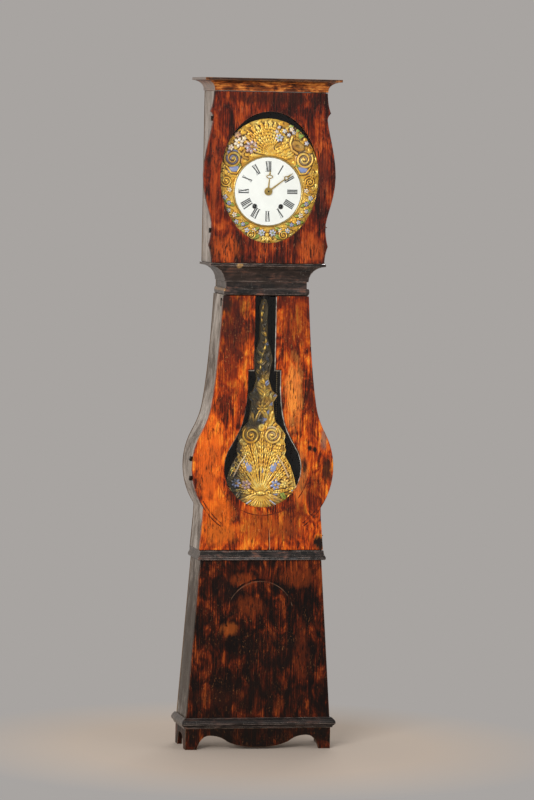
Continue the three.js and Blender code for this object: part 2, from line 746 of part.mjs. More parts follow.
function pintle(hinge, z, cutter) {
  const high = z - EYE_HALF - EYE_BORE_CLEAR;
  const low = high - KNUCKLE_HEIGHT;
  const knuckle = rodZ(KNUCKLE_RADIUS, low, high, hinge.x, hinge.y);
  const pin = rodZ(PINTLE_RADIUS, low, z + EYE_HALF + EYE_BORE_CLEAR, hinge.x, hinge.y);
  const arm = box(hinge.x, -hinge.side + OVERRUN, hinge.y, hinge.y + KNUCKLE_RADIUS, low, high);
  const strap = box(
    -hinge.side - STRAP_THICK, -hinge.side + OVERRUN,
    hinge.y, hinge.y + STRAP_LENGTH, low, high,
  );
  return join(cut(join(knuckle, arm, strap), cutter), pin);
}

function hingeEye(hinge, z, cutter) {
  const barrel = rodZ(KNUCKLE_RADIUS, z - EYE_HALF, z + EYE_HALF, hinge.x, hinge.y);
  const tongue = box(
    hinge.x - KNUCKLE_RADIUS, -hinge.side + OVERRUN,
    hinge.y - HINGE_SET - BOARD / 2, hinge.y - HINGE_SET, z - EYE_HALF, z + EYE_HALF,
  );
  const bore = rodZ(
    PINTLE_RADIUS + EYE_BORE_CLEAR,
    z - EYE_HALF - OVERRUN, z + EYE_HALF + OVERRUN, hinge.x, hinge.y,
  );
  return cut(join(barrel, tongue), cutter, bore);
}

const trunkFurniture = subassembly();
const hoodFurniture = subassembly();
for (const [level, up] of [["upper", 1], ["lower", -1]]) {
  const trunkZ = BELLY_Z + up * TRUNK_HINGE_SPREAD;
  const hoodZ = HOOD_Z + HOOD_HEIGHT * HOOD_HINGE_SHARES[level];
  piece(trunkFurniture, `trunk_${level}_pintle`, pintle(trunkHinge, trunkZ, trunkCutter), IRON);
  piece(trunkDoors, `trunk_${level}_hinge_eye`, hingeEye(trunkHinge, trunkZ, trunkCutter), IRON);
  piece(hoodFurniture, `hood_${level}_pintle`, pintle(hoodHinge, hoodZ, hoodCutter), IRON);
  piece(hoodDoors, `hood_${level}_hinge_eye`, hingeEye(hoodHinge, hoodZ, hoodCutter), IRON);
}

// Hooks: each hangs on a screw in the case's side and swings up and over to its door pin

const HOOK_REACH = 21;
const HOOK_ARM = 24.5;
const HOOK_ARM_WIDTH = 3;
const HOOK_PRONG = 6;
const HOOK_PRONG_THICK = 1.7;
const HOOK_DISC_RADIUS = 3;

// Built about its own pivot, hanging; seat is how far its disc reaches in to the case's side
function hook(seat, side) {
  const [left, right] = side > 0 ? [0, HOOK_ARM_THICK] : [-HOOK_ARM_THICK, 0];
  const disc = side > 0 ? rodX(HOOK_DISC_RADIUS, -seat, right) : rodX(HOOK_DISC_RADIUS, left, seat);
  const half = HOOK_ARM_WIDTH / 2;
  const arm = box(left, right, -half, half, -HOOK_ARM, 0);
  const prong = box(left, right, 0, HOOK_PRONG, -HOOK_ARM, HOOK_PRONG_THICK - HOOK_ARM);
  return join(disc, arm, prong);
}

function placeHook(group, name, side, face, plane, doorFront, z) {
  const mesh = piece(group, name, hook(plane - face - GAP, side), IRON);
  mesh.position.set(side * plane, doorFront + BOARD / 2 + HOOK_REACH, z);
}

placeHook(
  trunkFurniture, "trunk_upper_hook", -1,
  halfAt(trunkDoorEdge, TRUNK_HOOK_HIGH), HIGH_HOOK_PLANE, TRUNK_FRONT, TRUNK_HOOK_HIGH,
);
placeHook(
  trunkFurniture, "trunk_lower_hook", 1,
  halfAt(trunkDoorEdge, TRUNK_HOOK_LOW), LOW_HOOK_PLANE, TRUNK_FRONT, TRUNK_HOOK_LOW,
);
placeHook(hoodFurniture, "hood_hook", 1, HOOD_HALF, HOOD_HOOK_PLANE, HOOD_FRONT, HOOD_HOOK_Z);

// Dial

const dial = subassembly();
const ARBOR_X = 46;
const GREAT_DROP = 52;
const GREAT_Z = HANDS_Z - GREAT_DROP;
const SHEET_THICK = 2;
const SHEET_BACK = -44;
const SHEET_FRONT = SHEET_BACK - SHEET_THICK;
const DIAL_SHEET_HALF = 180;
const DIAL_SHEET_UP = 203;
const DIAL_SHEET_DOWN = 232;
const DIAL_SHEET_HOLE = 100;
const ENAMEL_RADIUS = 117.2;
const BEZEL_WIDTH = 6.5;
const BEZEL_PROUD = 6;
const FOOT_X = 116;
const FOOT_RADIUS = 3;
const FOOT_DROP = 91;
const FOOT_RISE = 89;
const CAGE_FRONT = -6;
const WINDING_HOLE = 7;

function dialSurround() {
  const outline = ellipse(DIAL_SHEET_HALF, DIAL_SHEET_UP, DIAL_SHEET_DOWN, OVAL_Z);
  const hole = circle(DIAL_SHEET_HOLE, 0, HANDS_Z).reverse();
  const sheet = frontBoard(outline, SHEET_FRONT, SHEET_BACK, [hole]);
  const bezel = frontBoard(
    circle(ENAMEL_RADIUS + GAP + BEZEL_WIDTH, 0, HANDS_Z),
    SHEET_FRONT - BEZEL_PROUD, SHEET_FRONT + SHEET_THICK / 2,
    [circle(ENAMEL_RADIUS + GAP, 0, HANDS_Z).reverse()],
  );
  const feet = [];
  for (const x of [-FOOT_X, FOOT_X])
    for (const z of [HANDS_Z - FOOT_DROP, HANDS_Z + FOOT_RISE])
      feet.push(rodY(FOOT_RADIUS, SHEET_BACK - SHEET_THICK / 2, CAGE_FRONT - GAP, x, z));
  return join(sheet, bezel, ...feet);
}

const ENAMEL_RIM = 2;
const ENAMEL_RINGS = 3;
const ENAMEL_CROWN = 2;

// The enamelled disc, slightly domed, with its centre and winding holes
function dialEnamel() {
  const back = SHEET_FRONT - GAP;
  const rings = [];
  for (let i = ENAMEL_RINGS; i >= 0; i--) {
    const share = i / ENAMEL_RINGS;
    rings.push([ENAMEL_RADIUS * share, ENAMEL_RIM + ENAMEL_CROWN * (1 - share * share)]);
  }
  const disc = turned([[0, 0], [ENAMEL_RADIUS, 0], ...rings]);
  const placed = toSolid(toGeometry(disc).rotateX(Math.PI / 2).translate(0, back, HANDS_Z));
  const deep = [back - ENAMEL_RIM - ENAMEL_CROWN - OVERRUN, back + OVERRUN];
  return cut(
    placed,
    rodY(WINDING_HOLE, ...deep, 0, HANDS_Z),
    rodY(WINDING_HOLE, ...deep, -ARBOR_X, GREAT_Z),
    rodY(WINDING_HOLE, ...deep, ARBOR_X, GREAT_Z),
  );
}

piece(dial, "dial_surround", dialSurround(), PRESSED_BRASS);
piece(dial, "dial_enamel", dialEnamel(), ENAMEL);

// Toothed wheels, each built about its own arbor, with the axis along Y

const TOOTH_ADDENDUM = 1;
const TOOTH_DEDENDUM = 1.4;
const WHEEL_ROOT_SHARE = 0.27;
const FINE_ROOT_SHARE = 0.5;
const FINE_TEETH = 30;
const LEAF_ROOT_SHARE = 0.14;
const LEAF_TIP_SHARE = 0.05;
const WHEEL_HUB = 7;
const WHEEL_RIM = 3.5;
const WHEEL_ARM = 4;
const ARBOR_RADIUS = 2;
const ARBOR_CLEAR = 0.5;

// A wheel's outline; phase turns it so that a tooth (0) or a gap (half a step) faces angle.
// With a root share of a half the gaps are V-shaped, and neighbouring teeth share their root point.
function toothed(teeth, module, angle, phase, rootShare, tipShare) {
  const pitch = (teeth * module) / 2;
  const root = pitch - TOOTH_DEDENDUM * module;
  const tip = pitch + TOOTH_ADDENDUM * module;
  const step = (2 * Math.PI) / teeth;
  const points = [];
  const put = (radius, turn) => points.push(point(radius * Math.cos(turn), radius * Math.sin(turn)));
  for (let i = 0; i < teeth; i++) {
    const middle = angle + (i + phase) * step;
    put(root, middle - rootShare * step);
    if (tipShare > 0) put(tip, middle - tipShare * step);
    put(tip, middle + tipShare * step);
    if (rootShare < FINE_ROOT_SHARE) put(root, middle + rootShare * step);
  }
  return points;
}

// Four crossings: the windows sawn between a wheel's arms
function crossings(hub, rim, arm) {
  const windows = [];
  const arms = 4;
  for (let i = 0; i < arms; i++) {
    const from = (2 * Math.PI * i) / arms;
    const to = from + (2 * Math.PI) / arms;
    const window = [];
    const corner = (radius, turn) => window.push(point(radius * Math.cos(turn), radius * Math.sin(turn)));
    const inset = (radius) => Math.asin(arm / 2 / radius);
    corner(hub, from + inset(hub));
    const steps = 4;
    for (let j = 0; j <= steps; j++) {
      const share = j / steps;
      const low = from + inset(rim);
      const high = to - inset(rim);
      corner(rim, low + (high - low) * share);
    }
    corner(hub, to - inset(hub));
    windows.push(window.reverse());
  }
  return windows;
}

function wheel(teeth, module, front, back, angle, phase = 0) {
  const root = (teeth * module) / 2 - TOOTH_DEDENDUM * module;
  const rootShare = teeth < FINE_TEETH ? WHEEL_ROOT_SHARE : FINE_ROOT_SHARE;
  const outline = toothed(teeth, module, angle, phase, rootShare, 0);
  const open = root > WHEEL_HUB + 4 * WHEEL_RIM;
  const holes = open ? crossings(WHEEL_HUB, root - WHEEL_RIM, WHEEL_ARM) : [];
  return frontBoard(outline, front, back, holes);
}

function pinion(leaves, module, front, back, angle, phase = 0.5) {
  return frontBoard(toothed(leaves, module, angle, phase, LEAF_ROOT_SHARE, LEAF_TIP_SHARE), front, back);
}

// Movement: places of the arbors

const movement = subassembly();
const SECOND_DROP = 5.4;
const THIRD_RISE = 4;
const ESCAPE_RISE = 29.9;
const PALLET_RISE = 65;
const FLY_RISE = 34;
const MOTION_DROP = 29;
const SECOND_Z = HANDS_Z - SECOND_DROP;
const THIRD_Z = HANDS_Z + THIRD_RISE;
const ESCAPE_Z = HANDS_Z + ESCAPE_RISE;
const PALLET_Z = HANDS_Z + PALLET_RISE;
const FLY_Z = HANDS_Z + FLY_RISE;
const MOTION_Z = HANDS_Z - MOTION_DROP;
const CAGE_HALF = 120;
const CAGE_BACK = 100;
const CAGE_HEADROOM = 54;
const CAGE_PLATE = 4;
const CAGE_TOP = PALLET_Z + CAGE_HEADROOM;
const PILLAR = 8;
const BACK_BAR_SET = 2;
const BAR_HALF = 9;
const BAR_THICK = 4;
const BAR_FRONT = -4;
const BACK_BAR_FRONT = CAGE_BACK - PILLAR + BACK_BAR_SET;
const ARBOR_FRONT = BAR_FRONT + GAP;
const ARBOR_BACK = BACK_BAR_FRONT + BAR_THICK - GAP;
const GREAT_ARBOR_RADIUS = 3;
const STUD_RADIUS = 3;
const MOTION_STUD_RADIUS = 2;
const BORE_CLEAR = 0.3;
const LINE_Y = 45;
const LINE_RADIUS = 1.5;
const DRUM_RADIUS = 17;
const LINE_X = ARBOR_X + DRUM_RADIUS + LINE_RADIUS + GAP;
const COCK_RISE = 4;
const COCK_Z = PALLET_Z + COCK_RISE;
const HAND_STUD_FRONT = -57;
const MOTION_STUD_FRONT = -36;
const COCK_HALF = 7;
const COCK_FRONT = -22;
const BELL_SET_BACK = 2;
const BELL_Y = LINE_Y + BELL_SET_BACK;
const SLOT_HALF_WIDTH = 15;
const SLOT_HALF_DEPTH = 22;

function pivotHoles(from, to) {
  const places = [
    [-ARBOR_X, GREAT_Z, GREAT_ARBOR_RADIUS], [ARBOR_X, GREAT_Z, GREAT_ARBOR_RADIUS],
    [-ARBOR_X, SECOND_Z, ARBOR_RADIUS], [ARBOR_X, SECOND_Z, ARBOR_RADIUS],
    [0, THIRD_Z, ARBOR_RADIUS], [0, ESCAPE_Z, ARBOR_RADIUS], [0, PALLET_Z, ARBOR_RADIUS],
    [-ARBOR_X, FLY_Z, ARBOR_RADIUS],
  ];
  return places.map(([x, z, radius]) => rodY(radius + ARBOR_CLEAR, from, to, x, z));
}

function uprights(front, back, low, high) {
  return [-ARBOR_X, 0, ARBOR_X].map((x) => box(x - BAR_HALF, x + BAR_HALF, front, back, low, high));
}

const HAMMER_X = -92;
const HAMMER_RISE = 8;
const HAMMER_Z = CAGE_TOP + HAMMER_RISE;
const HAMMER_EAR = 4;
const HAMMER_SPREAD = 14;
const BELL_RADIUS = 62;
const BELL_HEIGHT = 50;
const BELL_WALL = 3.5;
const BELL_RISE = 20;
const BELL_Z = CAGE_TOP + BELL_RISE;
const POST_RADIUS = 4;
const POST_SHOULDER = 5.5;

function cageFrame() {
  const plates = [SEAT_Z, CAGE_TOP - CAGE_PLATE].map((z) =>
    box(-CAGE_HALF, CAGE_HALF, CAGE_FRONT, CAGE_BACK, z, z + CAGE_PLATE),
  );
  const pillars = [];
  for (const x of [-CAGE_HALF, CAGE_HALF - PILLAR])
    for (const y of [CAGE_FRONT, CAGE_BACK - PILLAR])
      pillars.push(box(x, x + PILLAR, y, y + PILLAR, SEAT_Z, CAGE_TOP));
  const bars = uprights(BACK_BAR_FRONT, BACK_BAR_FRONT + BAR_THICK, SEAT_Z, CAGE_TOP);
  const slots = [-LINE_X, LINE_X].map((x) =>
    box(
      x - SLOT_HALF_WIDTH, x + SLOT_HALF_WIDTH, LINE_Y - SLOT_HALF_DEPTH, LINE_Y + SLOT_HALF_DEPTH,
      SEAT_Z - OVERRUN, SEAT_Z + OVERRUN,
    ),
  );
  const bellSeat = BELL_Z + BELL_HEIGHT - BELL_WALL - 2 * GAP;
  const post = join(
    rodZ(POST_SHOULDER, CAGE_TOP - CAGE_PLATE, bellSeat, 0, BELL_Y),
    rodZ(POST_RADIUS, bellSeat - OVERRUN, BELL_Z + BELL_HEIGHT + BELL_WALL, 0, BELL_Y),
  );
  const ears = [-HAMMER_SPREAD, HAMMER_SPREAD - HAMMER_EAR].map((y) =>
    box(
      HAMMER_X - HAMMER_EAR, HAMMER_X + HAMMER_EAR, BELL_Y + y, BELL_Y + y + HAMMER_EAR,
      CAGE_TOP - CAGE_PLATE, HAMMER_Z + HAMMER_EAR,
    ),
  );
  const hammerBore = rodY(
    ARBOR_RADIUS + ARBOR_CLEAR,
    BELL_Y - HAMMER_SPREAD - OVERRUN, BELL_Y + HAMMER_SPREAD + OVERRUN, HAMMER_X, HAMMER_Z,
  );
  const body = join(...plates, ...pillars, ...bars, ...ears);
  const bores = pivotHoles(BACK_BAR_FRONT - OVERRUN, CAGE_BACK + OVERRUN);
  return join(cut(body, ...slots, ...bores, hammerBore), post);
}

// The bars that hold the arbors' front pivots, the hands' studs and the pendulum's cock
function frontBars() {
  const low = SEAT_Z + CAGE_PLATE + GAP;
  const high = CAGE_TOP - CAGE_PLATE - GAP;
  const back = BAR_FRONT + BAR_THICK;
  const span = ARBOR_X + BAR_HALF;
  const bars = uprights(BAR_FRONT, back, low, high);
  const ties = [low, high - BAR_HALF].map((z) => box(-span, span, BAR_FRONT, back, z, z + BAR_HALF));
  const plate = cut(join(...bars, ...ties), ...pivotHoles(BAR_FRONT - OVERRUN, back + OVERRUN));
  const boss = rodY(BAR_HALF - GAP, BAR_FRONT - BAR_THICK / 2, BAR_FRONT, 0, HANDS_Z);
  const stud = rodY(STUD_RADIUS, HAND_STUD_FRONT, BAR_FRONT, 0, HANDS_Z);
  const motionStud = rodY(MOTION_STUD_RADIUS, MOTION_STUD_FRONT, BAR_FRONT + GAP, 0, MOTION_Z);
  const cock = box(-COCK_HALF, COCK_HALF, COCK_FRONT, BAR_FRONT + GAP, COCK_Z, COCK_Z + BAR_HALF);
  return join(plate, boss, stud, motionStud, cock);
}

piece(movement, "cage_frame", cageFrame(), IRON);
piece(movement, "front_bars", frontBars(), IRON);

// Movement: the trains. Each train wheel stands at its arbor's place, built about its own axis

const GREAT_TEETH = 72;
const SECOND_TEETH = 60;
const THIRD_TEETH = 61;
const ESCAPE_TEETH = 30;
const MINUTE_TEETH = 30;
const MOTION_TEETH = 30;
const HOUR_TEETH = 32;
const SMALL_PINION = 6;
const TRAIN_PINION = 8;
const MINUTE_PINION = 10;
const WHEEL_THICK = 3;
const THIN_WHEEL = 2;
const ESCAPE_THICK = 2.5;
const GREAT_FRONT = 8;
const UPPER_WHEEL_FRONT = 72;
const THIRD_WHEEL_FRONT = 20;
const ESCAPE_FRONT = 10;
const MINUTE_WHEEL_FRONT = -27;
const MOTION_WHEEL_FRONT = -31;
const HOUR_WHEEL_FRONT = -35;
const PINION_LAP = 2;

const GREAT_ARBOR = point(ARBOR_X, GREAT_Z);
const SECOND_ARBOR = point(ARBOR_X, SECOND_Z);
const THIRD_ARBOR = point(0, THIRD_Z);
const ESCAPE_ARBOR = point(0, ESCAPE_Z);
const HANDS_ARBOR = point(0, HANDS_Z);
const MOTION_ARBOR = point(0, MOTION_Z);
const STRIKE_GREAT_ARBOR = point(-ARBOR_X, GREAT_Z);
const PIN_ARBOR = point(-ARBOR_X, SECOND_Z);
const FLY_ARBOR = point(-ARBOR_X, FLY_Z);

function moduleOf(a, b, teeth) {
  return (2 * a.distanceTo(b)) / teeth;
}

function bearing(from, to) {
  return Math.atan2(to.y - from.y, to.x - from.x);
}

// A pair of wheels in mesh: the driver's tooth stands in the follower's gap on the line of centres
function mesh(driver, follower, driverTeeth, followerTeeth) {
  const module = moduleOf(driver, follower, driverTeeth + followerTeeth);
  return {
    driver: [driverTeeth, module],
    follower: [followerTeeth, module],
    toFollower: bearing(driver, follower),
    toDriver: bearing(follower, driver),
  };
}

const greatMesh = mesh(GREAT_ARBOR, SECOND_ARBOR, GREAT_TEETH, SMALL_PINION);
const secondMesh = mesh(SECOND_ARBOR, THIRD_ARBOR, SECOND_TEETH, TRAIN_PINION);
const thirdMesh = mesh(THIRD_ARBOR, ESCAPE_ARBOR, THIRD_TEETH, TRAIN_PINION);
const minuteMesh = mesh(SECOND_ARBOR, HANDS_ARBOR, MINUTE_TEETH, MINUTE_TEETH);
const motionMesh = mesh(HANDS_ARBOR, MOTION_ARBOR, MINUTE_PINION, MOTION_TEETH);
const hourMesh = mesh(MOTION_ARBOR, HANDS_ARBOR, TRAIN_PINION, HOUR_TEETH);
const pinMesh = mesh(PIN_ARBOR, FLY_ARBOR, SECOND_TEETH, SMALL_PINION);

function arbor(front = ARBOR_FRONT, radius = ARBOR_RADIUS, back = ARBOR_BACK) {
  return rodY(radius, front, back);
}

function drivingWheel(gear, front, thick = WHEEL_THICK) {
  return wheel(...gear.driver, front, front + thick, gear.toFollower);
}

function drivenWheel(gear, front, thick = WHEEL_THICK) {
  return wheel(...gear.follower, front, front + thick, gear.toDriver, 0.5);
}

// A pinion laps past its wheel on both sides
function drivenPinion(gear, wheelFront, thick = WHEEL_THICK) {
  return pinion(...gear.follower, wheelFront - PINION_LAP, wheelFront + thick + PINION_LAP, gear.toDriver);
}

function atArbor(name, solid, place, look) {
  const made = piece(movement, name, solid, look);
  made.position.set(place.x, 0, place.y);
}

function greatWheel() {
  const bore = rodY(GREAT_ARBOR_RADIUS + BORE_CLEAR, GREAT_FRONT - OVERRUN, GREAT_FRONT + OVERRUN);
  return cut(drivingWheel(greatMesh, GREAT_FRONT), bore);
}

const DRUM_FRONT = 18;
const DRUM_BACK = 70;
const FLANGE_RADIUS = 24;
const FLANGE_THICK = 2;
const RATCHET_RADIUS = 14;
const RATCHET_TEETH = 16;
const RATCHET_FRONT = 12;
const RATCHET_ROOT_SHARE = 0.84;
const RATCHET_LEAN_SHARE = 0.9;
const SQUARE_HALF = 2.1;
const SQUARE_LENGTH = 10;
const WINDING_FRONT = -46;

// A line drum with its ratchet and the arbor that ends in the winding square
function drum() {
  const ratchet = [];
  const corners = [[RATCHET_RADIUS, 0], [RATCHET_RADIUS * RATCHET_ROOT_SHARE, RATCHET_LEAN_SHARE]];
  for (let i = 0; i < RATCHET_TEETH; i++)
    for (const [radius, late] of corners) {
      const turn = (2 * Math.PI * (i + late)) / RATCHET_TEETH;
      ratchet.push(point(radius * Math.cos(turn), radius * Math.sin(turn)));
    }
  const squareBack = WINDING_FRONT + SQUARE_LENGTH;
  return join(
    rodY(DRUM_RADIUS, DRUM_FRONT - BAR_THICK, DRUM_BACK, 0, 0, 2 * ROD_SIDES),
    rodY(FLANGE_RADIUS, DRUM_FRONT, DRUM_FRONT + FLANGE_THICK, 0, 0, 2 * ROD_SIDES),
    rodY(FLANGE_RADIUS, DRUM_BACK - FLANGE_THICK, DRUM_BACK, 0, 0, 2 * ROD_SIDES),
    frontBoard(ratchet, RATCHET_FRONT, DRUM_FRONT),
    arbor(squareBack, GREAT_ARBOR_RADIUS),
    box(-SQUARE_HALF, SQUARE_HALF, WINDING_FRONT, squareBack + SQUARE_HALF, -SQUARE_HALF, SQUARE_HALF),
  );
}

function secondWheel() {
  return join(
    arbor(MINUTE_WHEEL_FRONT),
    drivenPinion(greatMesh, GREAT_FRONT),
    drivingWheel(secondMesh, UPPER_WHEEL_FRONT),
    drivingWheel(minuteMesh, MINUTE_WHEEL_FRONT, THIN_WHEEL),
  );
}

function thirdWheel() {
  return join(
    arbor(),
    drivenPinion(secondMesh, UPPER_WHEEL_FRONT),
    drivingWheel(thirdMesh, THIRD_WHEEL_FRONT),
  );
}

const ESCAPE_RADIUS = 22;

function escapeWheel() {
  const shares = { root: 0.79, heel: 0.2 };
  const root = ESCAPE_RADIUS * shares.root;
  const outline = [];
  for (let i = 0; i < ESCAPE_TEETH; i++)
    for (const [radius, late] of [[ESCAPE_RADIUS, 0], [root, shares.heel]]) {
      const turn = (2 * Math.PI * (i + late)) / ESCAPE_TEETH;
      outline.push(point(radius * Math.cos(turn), radius * Math.sin(turn)));
    }
  const holes = crossings(WHEEL_HUB, root - WHEEL_RIM / 2, WHEEL_ARM);
  return join(
    arbor(),
    drivenPinion(thirdMesh, THIRD_WHEEL_FRONT),
    frontBoard(outline, ESCAPE_FRONT, ESCAPE_FRONT + ESCAPE_THICK, holes),
  );
}

const ANCHOR_REACH = 22.5;
const ANCHOR_LAP = 1;
const CRUTCH_FRONT = -10;
const CRUTCH_THICK = 2;
const CRUTCH_HALF = 3;
const CRUTCH_LENGTH = 39;
const ROD_HALF = 4;
const ROD_FRONT = -19.5;
const ROD_THICK = 3;
const FORK_CLEAR = 0.5;
const FORK_PRONG = 2;

// The recoil anchor over the escape wheel, with the crutch whose fork holds the pendulum's rod
function anchor() {
  const shares = [
    [0, 0.24], [0.45, 0.13], [0.98, -0.62], [1, -0.89],
    [0.87, -0.8], [0.75, -0.53], [0.27, -0.22], [0, -0.27],
  ];
  const half = shares.map(([x, z]) => point(ANCHOR_REACH * x, ANCHOR_REACH * z));
  const right = [...half].reverse();
  const left = half.filter((p) => p.x > 0).map((p) => point(-p.x, p.y));
  const archBack = ESCAPE_FRONT + ESCAPE_THICK + ANCHOR_LAP;
  const arch = frontBoard([...right, ...left], ESCAPE_FRONT - ANCHOR_LAP, archBack);
  const crutch = box(
    -CRUTCH_HALF, CRUTCH_HALF, CRUTCH_FRONT, CRUTCH_FRONT + CRUTCH_THICK, -CRUTCH_LENGTH, 0,
  );
  const inner = ROD_HALF + FORK_CLEAR;
  const low = -CRUTCH_LENGTH;
  const high = low + FORK_PRONG;
  const yoke = box(
    -inner - FORK_PRONG, inner + FORK_PRONG,
    CRUTCH_FRONT, CRUTCH_FRONT + CRUTCH_THICK, low, high,
  );
  const prongs = [-inner - FORK_PRONG, inner].map((x) =>
    box(x, x + FORK_PRONG, ROD_FRONT - FORK_PRONG, CRUTCH_FRONT + CRUTCH_THICK, low, high),
  );
  return join(arbor(CRUTCH_FRONT), arch, crutch, yoke, ...prongs);
}

const PIN_COUNT = 8;
const PIN_CIRCLE = 28;
const PIN_RADIUS = 1.5;
const PIN_LENGTH = 7;

function strikePinWheel() {
  const wheelBack = UPPER_WHEEL_FRONT + WHEEL_THICK;
  const pins = circle(PIN_CIRCLE, 0, 0, PIN_COUNT).map((p) =>
    rodY(PIN_RADIUS, wheelBack - WHEEL_THICK / 2, wheelBack + PIN_LENGTH, p.x, p.y, PIN_COUNT),
  );
  const outline = toothed(...pinMesh.driver, pinMesh.toFollower, 0, FINE_ROOT_SHARE, 0);
  const holes = crossings(WHEEL_HUB, PIN_CIRCLE - WHEEL_RIM, WHEEL_ARM);
  const rim = frontBoard(outline, UPPER_WHEEL_FRONT, wheelBack, holes);
  return join(arbor(), drivenPinion(greatMesh, GREAT_FRONT), rim, ...pins);
}

const FLY_HALF = 18;
const FLY_FRONT = 25;
const FLY_BACK = 60;
const FLY_THICK = 1.6;

function strikeFly() {
  return join(
    arbor(),
    drivenPinion(pinMesh, UPPER_WHEEL_FRONT),
    box(-FLY_THICK / 2, FLY_THICK / 2, FLY_FRONT, FLY_BACK, -FLY_HALF, FLY_HALF),
  );
}

atArbor("going_great_wheel", greatWheel(), GREAT_ARBOR, WHEEL_BRASS);
atArbor("going_drum", drum(), GREAT_ARBOR, STEEL);
atArbor("going_second_wheel", secondWheel(), SECOND_ARBOR, WHEEL_BRASS);
atArbor("going_third_wheel", thirdWheel(), THIRD_ARBOR, WHEEL_BRASS);
atArbor("escape_wheel", escapeWheel(), ESCAPE_ARBOR, WHEEL_BRASS);
atArbor("anchor", anchor(), point(0, PALLET_Z), STEEL);
atArbor("strike_great_wheel", greatWheel(), STRIKE_GREAT_ARBOR, WHEEL_BRASS);
atArbor("strike_drum", drum(), STRIKE_GREAT_ARBOR, STEEL);
atArbor("strike_pin_wheel", strikePinWheel(), PIN_ARBOR, WHEEL_BRASS);
atArbor("strike_fly", strikeFly(), FLY_ARBOR, WHEEL_BRASS);

// Hands and motion work

const HAND_THICK = 1.5;
const HAND_STEM_HALF = 1.5;
const HAND_WIRE = 3;
const MINUTE_HAND_FRONT = -55.3;
const HOUR_HAND_FRONT = -52.8;
const MINUTE_HUB_FRONT = -58.5;
const HAND_HUB = 14;
const MINUTE_PIPE = 4.2;
const HOUR_PIPE = 6;
const HOUR_PIPE_CLEAR = 0.4;
const MINUTE_HAND_LENGTH = 108;
const HOUR_HAND_LENGTH = 74;
const MINUTE_TURN = (53 * Math.PI) / 180;
const HOUR_TURN = (4.5 * Math.PI) / 180;

// A pierced hand: a hub, a tapered stem, an open ring and a pointed tip, turned clockwise from twelve
function hand(length, ringShare, ringWide, ringTall, turn, front) {
  const ring = length * ringShare;
  const turnedBy = (points) => points.map((p) => p.clone().rotateAround(point(0, 0), -turn));
  const flat = (points) => frontBoard(turnedBy(points), front, front + HAND_THICK);
  const oval = (grow) => circle(1, 0, 0, 2 * ROD_SIDES).map((p) =>
    point(p.x * (ringWide - grow), ring + p.y * (ringTall - grow)),
  );
  const slim = HAND_STEM_HALF;
  const stemHigh = ring - ringTall + slim;
  const stem = [
    point(-2 * slim, HAND_HUB / 2), point(2 * slim, HAND_HUB / 2),
    point(slim, stemHigh), point(-slim, stemHigh),
  ];
  const tipLow = ring + ringTall - slim;
  const tipWide = ring + ringTall + 2 * slim;
  const tip = [
    point(-slim, tipLow), point(slim, tipLow),
    point(2 * slim, tipWide), point(0, length), point(-2 * slim, tipWide),
  ];
  const hub = flat(circle(HAND_HUB, 0, 0, 2 * ROD_SIDES));
  return join(hub, flat(stem), cut(flat(oval(0)), flat(oval(HAND_WIRE))), flat(tip));
}

function minuteHand() {
  const shares = { ring: 0.722, wide: 0.074, tall: 0.074 };
  const bore = rodY(STUD_RADIUS + BORE_CLEAR, MINUTE_HUB_FRONT - OVERRUN, BAR_FRONT);
  return cut(
    join(
      hand(
        MINUTE_HAND_LENGTH, shares.ring, MINUTE_HAND_LENGTH * shares.wide,
        MINUTE_HAND_LENGTH * shares.tall, MINUTE_TURN, MINUTE_HAND_FRONT,
      ),
      rodY(HAND_HUB / 2, MINUTE_HUB_FRONT, MINUTE_HAND_FRONT + HAND_THICK),
      rodY(MINUTE_PIPE, MINUTE_HAND_FRONT, MINUTE_WHEEL_FRONT + THIN_WHEEL),
      drivenWheel(minuteMesh, MINUTE_WHEEL_FRONT, THIN_WHEEL),
      pinion(
        ...motionMesh.driver, MOTION_WHEEL_FRONT, MOTION_WHEEL_FRONT + THIN_WHEEL,
        motionMesh.toFollower, 0,
      ),
    ),
    bore,
  );
}

function hourHand() {
  const shares = { ring: 0.69, wide: 0.162, tall: 0.094 };
  const bore = rodY(MINUTE_PIPE + HOUR_PIPE_CLEAR, HOUR_HAND_FRONT - OVERRUN, BAR_FRONT);
  return cut(
    join(
      hand(
        HOUR_HAND_LENGTH, shares.ring, HOUR_HAND_LENGTH * shares.wide,
        HOUR_HAND_LENGTH * shares.tall, HOUR_TURN, HOUR_HAND_FRONT,
      ),
      rodY(HOUR_PIPE, HOUR_HAND_FRONT, HOUR_WHEEL_FRONT + THIN_WHEEL),
      drivenWheel(hourMesh, HOUR_WHEEL_FRONT, THIN_WHEEL),
    ),
    bore,
  );
}

function motionWheel() {
  const bore = rodY(MOTION_STUD_RADIUS + BORE_CLEAR, HOUR_WHEEL_FRONT - OVERRUN, BAR_FRONT);
  return cut(
    join(
      drivenWheel(motionMesh, MOTION_WHEEL_FRONT, THIN_WHEEL),
      pinion(
        ...hourMesh.driver, HOUR_WHEEL_FRONT, MOTION_WHEEL_FRONT + THIN_WHEEL / 2,
        hourMesh.toFollower, 0,
      ),
    ),
    bore,
  );
}

atArbor("minute_hand", minuteHand(), HANDS_ARBOR, PRESSED_BRASS);
atArbor("hour_hand", hourHand(), HANDS_ARBOR, PRESSED_BRASS);
atArbor("motion_wheel", motionWheel(), MOTION_ARBOR, WHEEL_BRASS);

// Pendulum

